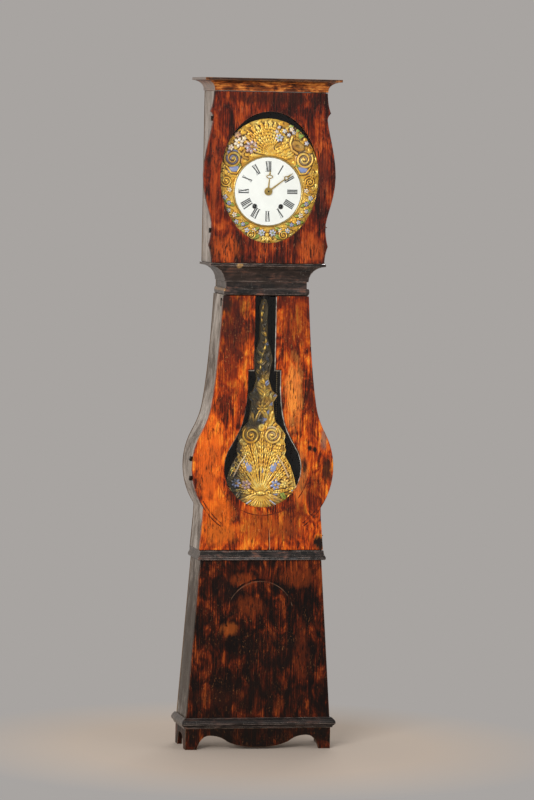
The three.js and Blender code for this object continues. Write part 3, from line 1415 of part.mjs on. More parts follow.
const pendulum = subassembly();
const ROD_DROP = 123;
const LOOP_INNER = 12;
const LOOP_DROP = 45;
const LOOP_RISE = 21;
const LOOP_LOW = HANDS_Z - LOOP_DROP;
const LOOP_HIGH = HANDS_Z + LOOP_RISE;
const PLATE_HALF = 128;
const PLATE_THICK = 3;
const PLATE_PROUD = 9;
const PLATE_BACK = ROD_FRONT - GAP;
const PLATE_DROP = 178;
const PLATE_TOP_CLEAR = 10;
const PLATE_LOW = BELLY_Z - PLATE_DROP;
const PLATE_HIGH = NECK_Z - PLATE_TOP_CLEAR;

// The flat rod, opened into a loop where it passes the hands' studs
function pendulumRod() {
  const back = ROD_FRONT + ROD_THICK;
  const top = COCK_Z - 2 * GAP;
  const strip = box(-ROD_HALF, ROD_HALF, ROD_FRONT, back, BELLY_Z - ROD_DROP, top);
  const outer = LOOP_INNER + ROD_HALF;
  const loop = frontBoard(mirrored(loopLine(outer, ROD_HALF)), ROD_FRONT, back);
  const inner = frontBoard(mirrored(loopLine(LOOP_INNER, 0)), ROD_FRONT - OVERRUN, back + OVERRUN);
  return cut(join(strip, loop), inner);
}

function loopLine(half, wall) {
  const slope = half / 2;
  return [
    point(half - slope, LOOP_LOW - wall), point(half, LOOP_LOW - wall + slope),
    point(half, LOOP_HIGH + wall - slope), point(half - slope, LOOP_HIGH + wall),
  ];
}

// A low rounded mound pressed out of the plate; its shares are of the plate's half width and proud
function boss(side, z, shares) {
  const [x, wide, tall, proud] = shares;
  const mound = new THREE.SphereGeometry(1, 12, 6);
  mound.scale(PLATE_HALF * wide, PLATE_PROUD * proud, PLATE_HALF * tall);
  return toSolid(mound.translate(side * PLATE_HALF * x, PLATE_BACK - PLATE_THICK, z));
}

// The large pressed plate: a sheaf-shaped disc below, scrolls above, and a leafy stem
function pendulumPlate() {
  const height = PLATE_HIGH - PLATE_LOW;
  const shares = [
    [0.35, 0.005], [0.7, 0.03], [0.93, 0.075], [1, 0.13], [0.95, 0.175], [0.83, 0.236], [0.655, 0.287],
    [0.69, 0.308], [0.625, 0.34], [0.665, 0.38], [0.52, 0.415], [0.375, 0.438], [0.33, 0.49],
    [0.31, 0.527], [0.43, 0.558], [0.27, 0.58], [0.17, 0.632], [0.22, 0.68], [0.27, 0.723],
    [0.2, 0.77], [0.11, 0.82], [0.1, 0.9], [0.12, 0.96], [0.05, 0.995],
  ];
  const half = shares.map(([out, up]) => point(PLATE_HALF * out, PLATE_LOW + height * up));
  const back = PLATE_BACK;
  const plate = frontBoard(mirrored(half), back - PLATE_THICK, back);
  const up = (share) => PLATE_LOW + height * share;
  const domeShares = { z: 0.163, mound: [0, 0.55, 0.47, 1] };
  const leafShares = { z: 0.7, mound: [0, 0.14, 0.5, 0.6] };
  const scrollShares = { z: 0.332, mound: [0.47, 0.2, 0.2, 1] };
  const fruitShares = { z: 0.124, mound: [0.66, 0.26, 0.3, 0.75] };
  const bosses = [domeShares, leafShares].map((shares) => boss(1, up(shares.z), shares.mound));
  for (const side of [-1, 1])
    for (const shares of [scrollShares, fruitShares]) bosses.push(boss(side, up(shares.z), shares.mound));
  const behind = box(
    -PLATE_HALF, PLATE_HALF, back - PLATE_THICK / 2, back + BOARD, PLATE_LOW, PLATE_HIGH,
  );
  return join(plate, cut(join(...bosses), behind));
}

piece(pendulum, "pendulum_rod", pendulumRod(), IRON);
piece(pendulum, "pendulum_plate", pendulumPlate(), PRESSED_BRASS);

// Weights and their lines

const lines = subassembly();
const WEIGHT_RADIUS = 42;
const WEIGHT_HEIGHT = 200;
const WEIGHT_LOW = 150;
const WEIGHT_STEM = 4;
const WEIGHT_EDGE = 3;
const WEIGHT_CAP = 8.4;
const RING_RADIUS = 8;
const RING_WIRE = 2.2;

// A turned iron cylinder with a stem and the ring that its line is tied to
function weight() {
  const ringSeat = WEIGHT_HEIGHT + WEIGHT_CAP;
  const edge = WEIGHT_EDGE;
  const body = turned([
    [0, 0], [WEIGHT_RADIUS - edge, 0], [WEIGHT_RADIUS, edge], [WEIGHT_RADIUS, WEIGHT_HEIGHT - edge],
    [WEIGHT_RADIUS - edge, WEIGHT_HEIGHT], [WEIGHT_STEM * 3, WEIGHT_HEIGHT + WEIGHT_CAP / 2],
    [WEIGHT_STEM, ringSeat], [0, ringSeat],
  ], 2 * ROD_SIDES);
  const ring = new THREE.TorusGeometry(RING_RADIUS, RING_WIRE, 5, 10);
  return join(body, toSolid(ring.rotateX(Math.PI / 2).translate(0, 0, ringSeat + RING_RADIUS)));
}

const LINE_LOW = WEIGHT_LOW + WEIGHT_HEIGHT + WEIGHT_CAP + 2 * RING_RADIUS + RING_WIRE + GAP;

// A line from its weight's ring up to the level of the drum's axis
function weightLine() {
  const path = new THREE.LineCurve3(new THREE.Vector3(0, 0, LINE_LOW), new THREE.Vector3(0, 0, GREAT_Z));
  const section = new THREE.Shape(circle(LINE_RADIUS, 0, 0, 8));
  return toSolid(new THREE.ExtrudeGeometry(section, { steps: 8, bevelEnabled: false, extrudePath: path }));
}

for (const [train, side] of [["going", 1], ["strike", -1]]) {
  const hung = piece(lines, `${train}_weight`, weight(), CAST_IRON);
  hung.position.set(side * LINE_X, LINE_Y, WEIGHT_LOW);
  piece(lines, `${train}_rope`, weightLine(), HEMP).position.set(side * LINE_X, LINE_Y, 0);
}

// Bell and hammer

const striking = subassembly();

function bell() {
  const shares = [[1, 0], [0.96, 0.14], [0.86, 0.38], [0.68, 0.67], [0.44, 0.87], [0.2, 0.98]];
  const wall = BELL_WALL;
  const skin = shares.map(([out, up]) => [BELL_RADIUS * out, BELL_HEIGHT * up]);
  const lining = shares.map(([out, up]) => [BELL_RADIUS * out - wall, (BELL_HEIGHT - wall) * up]);
  const bore = POST_RADIUS + ARBOR_CLEAR;
  const profile = [
    ...skin, [bore, BELL_HEIGHT], [bore, BELL_HEIGHT - wall], ...lining.reverse(),
  ];
  return turned([...profile, profile[0]], 2 * ROD_SIDES);
}

const HAMMER_HEAD_RADIUS = 5;
const HAMMER_HEAD = 37;
const HAMMER_ARM = 24;

function hammer() {
  const half = HAMMER_HEAD_RADIUS / 2;
  const tail = HAMMER_HEAD_RADIUS;
  return join(
    rodY(ARBOR_RADIUS, GAP - HAMMER_SPREAD, HAMMER_SPREAD - GAP),
    box(-half, half, -half, half, 0, HAMMER_ARM),
    rodX(HAMMER_HEAD_RADIUS, -tail, HAMMER_HEAD - tail, 0, HAMMER_ARM),
  );
}

piece(striking, "bell", bell(), WHEEL_BRASS).position.set(0, BELL_Y, BELL_Z);
piece(striking, "hammer", hammer(), STEEL).position.set(HAMMER_X, BELL_Y, HAMMER_Z);

export default clock;
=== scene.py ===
"""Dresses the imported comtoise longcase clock: waxed pine, pressed and tinted brass, enamel and iron.

Blender works in metres; the sizes of the clock's own pieces are written in millimetres and scaled by MM."""
import math
import json

import bmesh
import bpy
import numpy as np
from mathutils import Matrix, Vector

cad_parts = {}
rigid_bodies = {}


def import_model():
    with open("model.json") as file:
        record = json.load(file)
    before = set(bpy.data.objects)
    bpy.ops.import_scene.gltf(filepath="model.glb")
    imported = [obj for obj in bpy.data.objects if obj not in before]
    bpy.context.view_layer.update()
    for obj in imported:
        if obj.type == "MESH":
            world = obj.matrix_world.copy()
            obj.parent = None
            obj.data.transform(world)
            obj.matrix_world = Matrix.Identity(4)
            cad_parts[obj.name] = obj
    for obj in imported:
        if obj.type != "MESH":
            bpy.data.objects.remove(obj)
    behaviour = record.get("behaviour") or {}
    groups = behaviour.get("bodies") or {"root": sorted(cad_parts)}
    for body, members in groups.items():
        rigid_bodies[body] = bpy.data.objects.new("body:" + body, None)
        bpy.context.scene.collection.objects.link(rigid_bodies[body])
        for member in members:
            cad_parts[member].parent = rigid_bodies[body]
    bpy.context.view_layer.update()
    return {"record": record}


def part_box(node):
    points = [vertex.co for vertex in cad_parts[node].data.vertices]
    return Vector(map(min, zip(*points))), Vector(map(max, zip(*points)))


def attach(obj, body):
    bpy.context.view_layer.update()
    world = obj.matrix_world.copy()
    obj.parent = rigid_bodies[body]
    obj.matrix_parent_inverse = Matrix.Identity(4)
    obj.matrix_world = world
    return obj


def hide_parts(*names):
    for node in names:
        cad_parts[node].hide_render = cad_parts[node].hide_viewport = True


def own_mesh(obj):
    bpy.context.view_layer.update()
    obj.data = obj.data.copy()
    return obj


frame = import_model()
MM = 0.001


def box_mm(node):
    """Lowest and highest corner of a node, in millimetres"""
    low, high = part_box(node)
    return np.array(low) / MM, np.array(high) / MM


# Camera, lamps, floor and backdrop

CAMERA_PLACE = Vector((-3.035, -14.174, 2.196))
CAMERA_YAW = math.radians(12.17)
CAMERA_PITCH = math.radians(-3.87)
CAMERA_ROLL = math.radians(1.15)
FOCAL_PIXELS = 4176
PHOTO_HEIGHT_PIXELS = 800
SENSOR_MM = 36
CLIP_END_M = 100
BACKDROP_GREY = "#a8a4a1"
FLOOR_GREY = "#c6b7a9"
SKY_STRENGTH = 0.44
FLOOR_NEAR_M = 0.62
FLOOR_FAR_M = 1.15
FLOOR_HALF_M = 30
# Name, place, height it aims at on the clock, side in metres, and share of full light that it gives there
LAMPS = [
    ("key_soft_box", (-3.0, -4.8, 2.8), 1.3, 2.6, 0.74),
    ("fill_soft_box", (3.6, -4.2, 2.5), 1.2, 4.6, 0.14),
    ("back_soft_box", (1.5, 4.5, 3.2), 1.3, 2.4, 0.35),
]


def put_in_scene(name, data):
    """Makes an object of its mesh, lamp or camera data and puts it in the scene"""
    thing = bpy.data.objects.new(name, data)
    bpy.context.scene.collection.objects.link(thing)
    return thing


def make_camera():
    """The photo's camera, as it was fitted to the corners of the case"""
    data = bpy.data.cameras.new("camera")
    data.sensor_fit = "VERTICAL"
    data.sensor_height = SENSOR_MM
    data.sensor_width = SENSOR_MM
    data.lens = FOCAL_PIXELS / PHOTO_HEIGHT_PIXELS * SENSOR_MM
    data.clip_end = CLIP_END_M
    camera = put_in_scene("camera", data)
    level = Matrix.Rotation(math.pi / 2 + CAMERA_PITCH, 4, "X")
    turn = Matrix.Rotation(-CAMERA_YAW, 4, "Z")
    roll = Matrix.Rotation(CAMERA_ROLL, 4, "Z")
    camera.matrix_world = Matrix.Translation(CAMERA_PLACE) @ turn @ level @ roll
    bpy.context.scene.camera = camera


def make_lamp(name, place, aim_height, side, share):
    """A square soft box; a surface of the clock that faces it gets that share of full light"""
    direction = Vector((0, 0, aim_height)) - Vector(place)
    data = bpy.data.lights.new(name, "AREA")
    data.size = side
    data.energy = share * math.pi ** 2 * direction.length_squared
    lamp = put_in_scene(name, data)
    lamp.location = place
    lamp.rotation_euler = direction.to_track_quat("-Z", "Y").to_euler()


def linear(hex_colour):
    """sRGB hex text to a linear colour"""
    values = [int(hex_colour[i:i + 2], 16) / 255 for i in (1, 3, 5)]
    return tuple(v / 12.92 if v <= 0.04045 else ((v + 0.055) / 1.055) ** 2.4 for v in values) + (1,)


def add(tree, kind, output=0, **settings):
    """Adds one shader node with its settings and links, and gives back one of its outputs"""
    node = tree.nodes.new("ShaderNode" + kind)
    for name, value in settings.items():
        socket = int(name[2:]) if name[2:].isdigit() else name.replace("_", " ")
        if name == "stops":
            ramp = node.color_ramp.elements
            ramp.remove(ramp[1])
            ramp[0].position = value[0][0]
            ramp[0].color = linear(value[0][1])
            for position, colour in value[1:]:
                ramp.new(position).color = linear(colour)
        elif hasattr(node, name):
            setattr(node, name, value)
        elif isinstance(value, bpy.types.NodeSocket):
            tree.links.new(value, node.inputs[socket])
        else:
            node.inputs[socket].default_value = linear(value) if isinstance(value, str) else value
    return node.outputs[output] if len(node.outputs) else None


def recipe(surface):
    """Turns a function that builds a surface in a node tree into one that makes the whole, named material"""
    def make(name, *details, **more):
        material = bpy.data.materials.new(name)
        material.use_nodes = True
        tree = material.node_tree
        tree.nodes.clear()
        add(tree, "OutputMaterial", Surface=surface(tree, *details, **more))
        return material
    return make


def seen_directly(tree):
    """1 for a ray that the eye follows, also by way of a mirror or through glass"""
    direct = add(tree, "LightPath", output="Is Camera Ray")
    mirrored = add(tree, "LightPath", output="Is Glossy Ray")
    through = add(tree, "LightPath", output="Is Transmission Ray")
    either = add(tree, "Math", operation="MAXIMUM", in0=mirrored, in1=through)
    return add(tree, "Math", operation="MAXIMUM", in0=direct, in1=either)


def make_world():
    """Even light from all round; the eye sees a plain grey backdrop"""
    world = bpy.data.worlds.new("studio")
    world.use_nodes = True
    tree = world.node_tree
    tree.nodes.clear()
    seen = seen_directly(tree)
    light = add(tree, "Background", Color=(1, 1, 1, 1), Strength=SKY_STRENGTH)
    backdrop = add(tree, "Background", Color=BACKDROP_GREY, Strength=1.0)
    both = add(tree, "MixShader", Fac=seen, in1=light, in2=backdrop)
    add(tree, "OutputWorld", Surface=both)
    bpy.context.scene.world = world


@recipe
def floor_paint(tree):
    """Pale paint that runs out into the backdrop's grey a step away from the clock"""
    where = add(tree, "TexCoord", output="Object")
    away = add(tree, "VectorMath", output="Value", operation="LENGTH", in0=where)
    far = add(tree, "MapRange", Value=away, From_Min=FLOOR_NEAR_M, From_Max=FLOOR_FAR_M)
    faded = add(tree, "Math", operation="MULTIPLY", in0=far, in1=seen_directly(tree))
    lit = add(tree, "BsdfDiffuse", Color=FLOOR_GREY)
    backdrop = add(tree, "Emission", Color=BACKDROP_GREY, Strength=1.0)
    return add(tree, "MixShader", Fac=faded, in1=lit, in2=backdrop)


def make_floor():
    mesh = bpy.data.meshes.new("studio_floor")
    corners = [(x * FLOOR_HALF_M, y * FLOOR_HALF_M, 0) for x, y in ((-1, -1), (1, -1), (1, 1), (-1, 1))]
    mesh.from_pydata(corners, [], [(0, 1, 2, 3)])
    mesh.materials.append(floor_paint("studio_floor"))
    put_in_scene("studio_floor", mesh)


bpy.context.scene.view_settings.view_transform = "Standard"
make_camera()
make_world()
make_floor()
for lamp in LAMPS:
    make_lamp(*lamp)


# Patterns shared by the woods and metals


def pattern(tree, size, low, high, detail=5.0, warp=0.0):
    """Cloudy pattern whose marks measure size millimetres, the same all ways or along x, y and z each; what
    lies between low and high in the cloud gives 0 to 1"""
    sides = size if isinstance(size, tuple) else (size, size, size)
    where = add(tree, "TexCoord", output="Object")
    scaled = add(tree, "Mapping", Vector=where, Scale=[1 / (side * MM) for side in sides])
    cloud = add(tree, "TexNoise", Vector=scaled, Scale=1.0, Detail=detail, Roughness=0.62, Distortion=warp)
    return add(tree, "MapRange", Value=cloud, From_Min=low, From_Max=high)


def away_from(tree, x, z, share):
    """Distance from x and z in millimetres, seen from the front, each axis multiplied by its share"""
    where = add(tree, "TexCoord", output="Object")
    inward = add(tree, "VectorMath", operation="SUBTRACT", in0=where, in1=(x * MM, 0, z * MM))
    scaled = add(tree, "VectorMath", operation="MULTIPLY", in0=inward, in1=share)
    return add(tree, "VectorMath", output="Value", operation="LENGTH", in0=scaled)


def spot(tree, x, z, half_x, half_z, ragged):
    """1 inside an oval spot seen from the front, at x and z in millimetres, with a ragged edge"""
    away = away_from(tree, x, z, (1 / (half_x * MM), 0, 1 / (half_z * MM)))
    torn = add(tree, "Math", operation="MULTIPLY_ADD", in0=ragged, in1=0.8, in2=away)
    return add(tree, "MapRange", Value=torn, From_Min=0.90, From_Max=1.40, To_Min=1.0, To_Max=0.0)


def scribed_arc(tree, x, z, radius, width, low, high):
    """1 on a thin arc round x and z, between the heights low and high, all in millimetres"""
    away = away_from(tree, x, z, (1, 0, 1))
    line = add(tree, "Math", operation="COMPARE", in0=away, in1=radius * MM, in2=width / 2 * MM)
    height = add(tree, "SeparateXYZ", output="Z", Vector=add(tree, "TexCoord", output="Object"))
    span = add(tree, "Math", operation="COMPARE", in0=height, in1=(low + high) / 2 * MM,
               in2=(high - low) / 2 * MM)
    return add(tree, "Math", operation="MULTIPLY", in0=line, in1=span)


def worn_edges(tree, reach):
    """1 where hands and feet rub an edge, within reach millimetres, and the softened normal there"""
    soft = add(tree, "Bevel", samples=4, Radius=reach * MM)
    hard = add(tree, "NewGeometry", output="Normal")
    alike = add(tree, "VectorMath", output="Value", operation="DOT_PRODUCT", in0=soft, in1=hard)
    return add(tree, "MapRange", Value=alike, From_Min=0.985, From_Max=0.90), soft


# Woods

# Size of each mark in millimetres, across and along the grain, or along x, y and z, or the same all ways. A
# pixel of the render covers 3.5 mm of the clock, so the grain, pores and scuffs are drawn two to four times
# as wide as real ones, to show at all.
GRAIN = (4.5, 120)
PORES = (4.2, 34)
RUBBED_PATCHES = (16, 38)
SCUFFS = (4.0, 4.0, 16)
SCUFFED_PLACES = (90, 90, 70)
PORE_PLACES = (50, 50, 90)
RAGGED_EDGE = (14, 14, 40)
FADED_PLACES = 34
PORE_DEPTH = 0.22


def grained(run, across, along):
    """Size of a mark that is drawn out along the grain, which runs along x or z"""
    return (along, across, across) if run == "x" else (across, across, along)


@recipe
def painted_pine(tree, tones, fleck, worn, spots=(), arcs=(), painted_light_by_facing=(), gloss=0.42, mottle=60,
                 fleck_share=0.9, edge=0.8, coat=0.05, fleck_level=0.52, wear_reach=3.0, run="z",
                 scuff="#a9937c", scuff_share=0.5, shine=0.14):
    """Pine boards brushed with coloured glaze to imitate finer wood, then waxed for a century and a half:
    streaky along the grain, blotched where the glaze has gone, dark flecks in the open pores, pale scuffs,
    rubbed edges. A wash paints light and shade onto the faces that look one way. A spot is x, z, half its
    width and height, colour and strength; an arc is x, z, radius, width, lowest and highest point and colour."""
    blotch = pattern(tree, grained(run, mottle, mottle * 1.9), 0.38, 0.62, warp=0.6)
    grain = pattern(tree, grained(run, *GRAIN), 0.34, 0.66)
    broad = add(tree, "Math", operation="MULTIPLY", in0=blotch, in1=0.55)
    blend = add(tree, "Math", operation="MULTIPLY_ADD", in0=grain, in1=0.45, in2=broad)
    colour = add(tree, "ValToRGB", Fac=blend, stops=tones)
    ragged = pattern(tree, RAGGED_EDGE, 0.25, 0.75)
    layers = [(spot(tree, *place, ragged), strength, tint) for *place, tint, strength in spots]
    pores = pattern(tree, grained(run, *PORES), fleck_level, fleck_level + 0.08, detail=4.0, warp=0.8)
    pore_places = pattern(tree, PORE_PLACES, 0.32, 0.56)
    open_pores = add(tree, "Math", operation="MULTIPLY", in0=pores, in1=pore_places)
    layers.append((open_pores, fleck_share, fleck))
    scuffs = pattern(tree, SCUFFS, 0.61, 0.68, warp=1.5)
    scuffed = pattern(tree, SCUFFED_PLACES, 0.44, 0.58)
    scratches = add(tree, "Math", operation="MULTIPLY", in0=scuffs, in1=scuffed)
    layers.append((scratches, scuff_share, scuff))
    faded = pattern(tree, FADED_PLACES, 0.36, 0.56)
    layers += [(scribed_arc(tree, *line), faded, tint) for *line, tint in arcs]
    wear_and_glint, soft = worn_edges(tree, wear_reach)
    patchy = pattern(tree, grained(run, *RUBBED_PATCHES), 0.36, 0.60)
    bare = add(tree, "Math", operation="MULTIPLY", in0=wear_and_glint, in1=patchy)
    layers.append((bare, edge, worn))
    facing = add(tree, "NewGeometry", output="Normal")
    # Painted light and shade, laid on the faces turned one way
    for direction, tint, strength in painted_light_by_facing:
        towards = add(tree, "VectorMath", output="Value", operation="DOT_PRODUCT", in0=facing, in1=direction)
        layers.append((add(tree, "MapRange", Value=towards, From_Min=0.3, From_Max=0.8), strength, tint))
    for amount, share, tint in layers:
        laid = add(tree, "Math", operation="MULTIPLY", in0=amount, in1=share)
        colour = add(tree, "Mix", output=2, data_type="RGBA", in0=laid, in6=colour, in7=tint)
    relief = add(tree, "Math", operation="MULTIPLY_ADD", in0=open_pores, in1=-0.7, in2=grain)
    normal = add(tree, "Bump", Height=relief, Distance=PORE_DEPTH * MM, Strength=0.8, Normal=soft)
    dull = add(tree, "MapRange", Value=blend, To_Min=gloss + 0.14, To_Max=gloss - 0.08)
    return add(tree, "BsdfPrincipled", Base_Color=colour, Roughness=dull, Normal=normal, IOR=1.5,
               Specular_IOR_Level=shine, Coat_Weight=coat, Coat_Roughness=0.24)


BELLY_Z = (box_mm("trunk_upper_pintle")[0][2] + box_mm("trunk_lower_pintle")[1][2]) / 2
WINDOW_RADIUS = 138
SPLIT_X = 31
SPLIT_BEND = 5000
SPLIT_Z = 485
LEFT = (-1, 0, 0)
FORWARD = (0, -1, 0)

# The trunk door's orange glaze is the least worn and darkens towards the top; its bright orange at the left
# belly is a painted highlight. The scribed lines and the split are drawn wider than a knife cuts, to show at
# all.
TRUNK_DOOR_PINE = painted_pine(
    "trunk_door_glaze",
    [(0.16, "#280e07"), (0.34, "#74250c"), (0.50, "#b6420e"), (0.66, "#d65f15"), (0.86, "#f1912d")],
    fleck="#290c06", worn="#30150e", gloss=0.36, mottle=42, fleck_share=0.85, scuff="#f5b365",
    scuff_share=0.55,
    spots=[
        # Painted highlight: the bright orange of the left belly stands in for the light falling there
        (-190, 1010, 50, 230, "#ec6a1d", 0.60),
        (-150, 830, 60, 60, "#e26c19", 0.55),
        (-116, 1480, 78, 190, "#421810", 0.82),
        (-128, 1300, 46, 120, "#79270f", 0.60),
        (-70, 1240, 34, 80, "#97310e", 0.50),
        (106, 1500, 74, 170, "#571c0d", 0.62),
        (104, 1240, 36, 150, "#ec9142", 0.55),
        (172, 1180, 26, 130, "#5c1c0c", 0.60),
        (182, 900, 44, 90, "#4c190c", 0.60),
        (110, 830, 66, 44, "#3a140c", 0.65),
        (96, 770, 60, 46, "#632813", 0.60),
        (10, 776, 130, 60, "#913f12", 0.65),
        (-150, 760, 80, 60, "#e8721d", 0.60),
        (-40, 820, 90, 26, "#883313", 0.45),
        (130, 960, 34, 110, "#d6843e", 0.40),
        (-139, 1570, 26, 62, "#281815", 0.95),
        (228, 975, 22, 62, "#241510", 0.90),
        (214, 1084, 16, 48, "#78655a", 0.70),
        (164, 1053, 9, 12, "#21130e", 1.0),
        (183, 1046, 9, 12, "#21130e", 1.0),
        (146, 993, 12, 34, "#21130e", 0.90),
        (206, 722, 24, 34, "#19120f", 1.0),
        (-20, 1640, 190, 30, "#63230f", 0.60),
    ],
    arcs=[
        (0, BELLY_Z, WINDOW_RADIUS + 24, 4.0, 0, BELLY_Z - 30, "#63240e"),
        (0, BELLY_Z, 248, 3.6, 780, 872, "#2f0d06"),
        (0, BELLY_Z, 238, 3.4, 790, 868, "#42150a"),
        (SPLIT_X - SPLIT_BEND, SPLIT_Z, SPLIT_BEND, 3.4, 697, 843, "#220f0a"),
        (SPLIT_X + 3 - SPLIT_BEND, SPLIT_Z, SPLIT_BEND, 2.0, 697, 790, "#ca976a"),
    ],
)
# The hood's front keeps a deep red-brown glaze, darker at the top and brighter low down
HOOD_DOOR_PINE = painted_pine(
    "hood_door_glaze",
    [(0.18, "#1d0b07"), (0.36, "#4a170d"), (0.54, "#72240f"), (0.72, "#993c15"), (0.92, "#c05a24")],
    fleck="#1b0c0a", worn="#7a5e4d", gloss=0.36, fleck_level=0.50, scuff="#c08663", scuff_share=0.45,
    spots=[
        (-150, 1745, 60, 50, "#c9581d", 0.55),
        (150, 1745, 60, 50, "#b8521d", 0.50),
        (0, 2262, 210, 28, "#33170f", 0.70),
        (-60, 2215, 60, 26, "#863117", 0.50),
        (190, 1990, 18, 120, "#52241b", 0.60),
        (-196, 1990, 14, 200, "#af491d", 0.50),
    ],
)
# Near-black brown glaze, rubbed through to red in soft blotches, with a knife line of an arch
LOWER_CASE_PINE = painted_pine(
    "lower_case_glaze",
    [(0.20, "#0c0605"), (0.42, "#1c0a06"), (0.58, "#351307"), (0.74, "#581d0c"), (0.90, "#914217")],
    fleck="#0c0706", worn="#977454", gloss=0.40, mottle=42, scuff="#af7242", shine=0.10,
    spots=[
        (-120, 560, 60, 60, "#170d0b", 0.60),
        (60, 330, 150, 90, "#1b0e0a", 0.50),
        (-150, 180, 110, 40, "#40180c", 0.40),
        (130, 600, 80, 40, "#7f3512", 0.50),
        (-60, 590, 60, 30, "#913e15", 0.45),
        (-40, 500, 60, 45, "#7f3512", 0.45),
        (150, 330, 30, 120, "#5c240f", 0.45),
        (-110, 420, 36, 30, "#a9541d", 0.45),
        (0, 190, 260, 70, "#180d09", 0.55),
        (0, 60, 420, 52, "#120b07", 0.80),
    ],
    arcs=[
        (0, 469, 124, 6.0, 430, 600, "#0d0706"),
        (0, 469, 118, 2.2, 500, 592, "#6a4e3c"),
    ],
)
# Mouldings stained blue-black; handling has bared their edges, whose pale colour is also a painted highlight
# along them, and what faces left is paler as a painted reflection
MOULDING_PINE = painted_pine(
    "moulding_stain", [(0.24, "#0f0f0f"), (0.46, "#241f1c"), (0.66, "#403431"), (0.90, "#704b3c")],
    fleck="#0e0c0c", worn="#b2a197", gloss=0.36, mottle=30, edge=0.95, coat=0.10, wear_reach=4.5, run="x",
    scuff="#9a948c", scuff_share=0.6, shine=0.22, painted_light_by_facing=[(LEFT, "#80766c", 0.48)],
    spots=[
        (-99, 1684, 14, 12, "#d9a961", 0.95),
        (-150, 1600, 9, 6, "#b8884f", 0.95),
        # Grey band along the waist moulding: its stain, and partly also its painted sheen
        (0, 655, 320, 18, "#616367", 0.55),
        (0, 1650, 320, 50, "#2f2017", 0.55),
        (0, 95, 420, 30, "#16100e", 0.60),
    ],
)
# The cornice's stain has worn to orange along its hollow, under a dark upper edge; what faces left is paler
# as a painted reflection
CORNICE_PINE = painted_pine(
    "cornice_stain", [(0.20, "#2c150c"), (0.42, "#6f3618"), (0.60, "#a45823"), (0.86, "#d28840")],
    fleck="#20130c", worn="#b88658", gloss=0.38, mottle=26, edge=0.7, run="x",
    painted_light_by_facing=[(LEFT, "#a49991", 0.75)], spots=[(0, 2328, 420, 14, "#392821", 0.90)],
)
# The side boards' glaze has faded to grey-brown, with dark runs left in the grain; their pale tone is also a
# painted sheen of the light from the left. They are darker low on the case and paler up on the hood.
SIDE_BOARD_PINE = painted_pine(
    "side_board_glaze", [(0.2, "#67594e"), (0.40, "#928579"), (0.60, "#b1a599"), (0.85, "#c9beb3")],
    fleck="#392c23", worn="#c4b9ac", gloss=0.40, mottle=90, edge=0.6, fleck_share=0.6, scuff="#d6ccc0",
    spots=[(0, 330, 900, 440, "#4c4034", 0.94), (0, 2000, 900, 300, "#c4b9b2", 0.60)],
)
# Unfinished inner and back boards: rough-sawn pine gone brown with age. What faces forward is painted nearly
# black as painted shade, standing in for the dark inside of the shut case.
BARE_PINE = painted_pine(
    "bare_pine", [(0.1, "#523e2a"), (0.45, "#705840"), (0.65, "#7e6348"), (0.95, "#947b57")],
    fleck="#30241b", worn="#9d866a", gloss=0.72, mottle=160, edge=0.5, fleck_share=0.5, coat=0.0,
    scuff="#a9916e", scuff_share=0.3, painted_light_by_facing=[(FORWARD, "#141b21", 0.9)],
)


# Metals, enamel, glass and line


@recipe
def metal(tree, tones, tarnish, rough, spread, size=30, metallic=1.0, bump=0.06, reach=1.2, grit=2.0):
    """Bare metal: its own tone wanders with handling, tarnish gathers in clouds, the edges are softened.
    Clouds, bump, edge and grit are in millimetres, the grit drawn coarse to show when the case is open."""
    tone = add(tree, "ValToRGB", Fac=pattern(tree, size, 0.3, 0.7, warp=0.5), stops=tones)
    speck = pattern(tree, grit * 2.2, 0.56, 0.70)
    clouded = add(tree, "Math", operation="MULTIPLY", in0=speck, in1=0.7)
    colour = add(tree, "Mix", output=2, data_type="RGBA", in0=clouded, in6=tone, in7=tarnish)
    soft = add(tree, "Bevel", samples=4, Radius=reach * MM)
    grain = pattern(tree, grit, 0.25, 0.75)
    normal = add(tree, "Bump", Height=grain, Distance=bump * MM, Strength=0.7, Normal=soft)
    roughness = add(tree, "MapRange", Value=speck, To_Min=rough, To_Max=rough + spread)
    return add(tree, "BsdfPrincipled", Base_Color=colour, Metallic=metallic, Roughness=roughness,
               Normal=normal)


@recipe
def sheet_brass(tree):
    """Thin sheet brass pressed over a die, its hollows toned brown as painted shade, its flowers and scrolls
    tinted with thin varnish colours. The mesh carries the tint, how much is varnish, how deep each point
    lies, and where the brass has gone black with age, which on the pendulum's left is also painted shade."""
    tint = add(tree, "Attribute", output="Color", attribute_name="tint")
    depth = add(tree, "Attribute", output="Fac", attribute_name="depth")
    varnish = add(tree, "Attribute", output="Fac", attribute_name="varnish")
    patina = add(tree, "Attribute", output="Fac", attribute_name="patina")
    kept = add(tree, "MapRange", Value=pattern(tree, 7, 0.35, 0.65), To_Min=0.72, To_Max=1.0)
    film = add(tree, "Math", operation="MULTIPLY", in0=varnish, in1=kept)
    tone = add(tree, "ValToRGB", Fac=pattern(tree, 26, 0.3, 0.7),
               stops=[(0.1, "#dc9a30"), (0.5, "#fcc244"), (0.9, "#ffe27e")])
    # The brown in the hollows is painted shade; the near-black is patina, on the pendulum's left also painted
    # shade
    for amount, colour in ((film, tint), (depth, "#46280a"), (patina, "#1d1c18")):
        tone = add(tree, "Mix", output=2, data_type="RGBA", in0=amount, in6=tone, in7=colour)
    bare = add(tree, "MapRange", Value=film, To_Min=0.34, To_Max=0.06)
    rough = add(tree, "MapRange", Value=depth, To_Min=0.30, To_Max=0.60)
    normal = add(tree, "Bump", Height=pattern(tree, 2.4, 0.25, 0.75), Distance=0.05 * MM, Strength=0.6)
    return add(tree, "BsdfPrincipled", Base_Color=tone, Metallic=bare, Roughness=rough, Normal=normal)


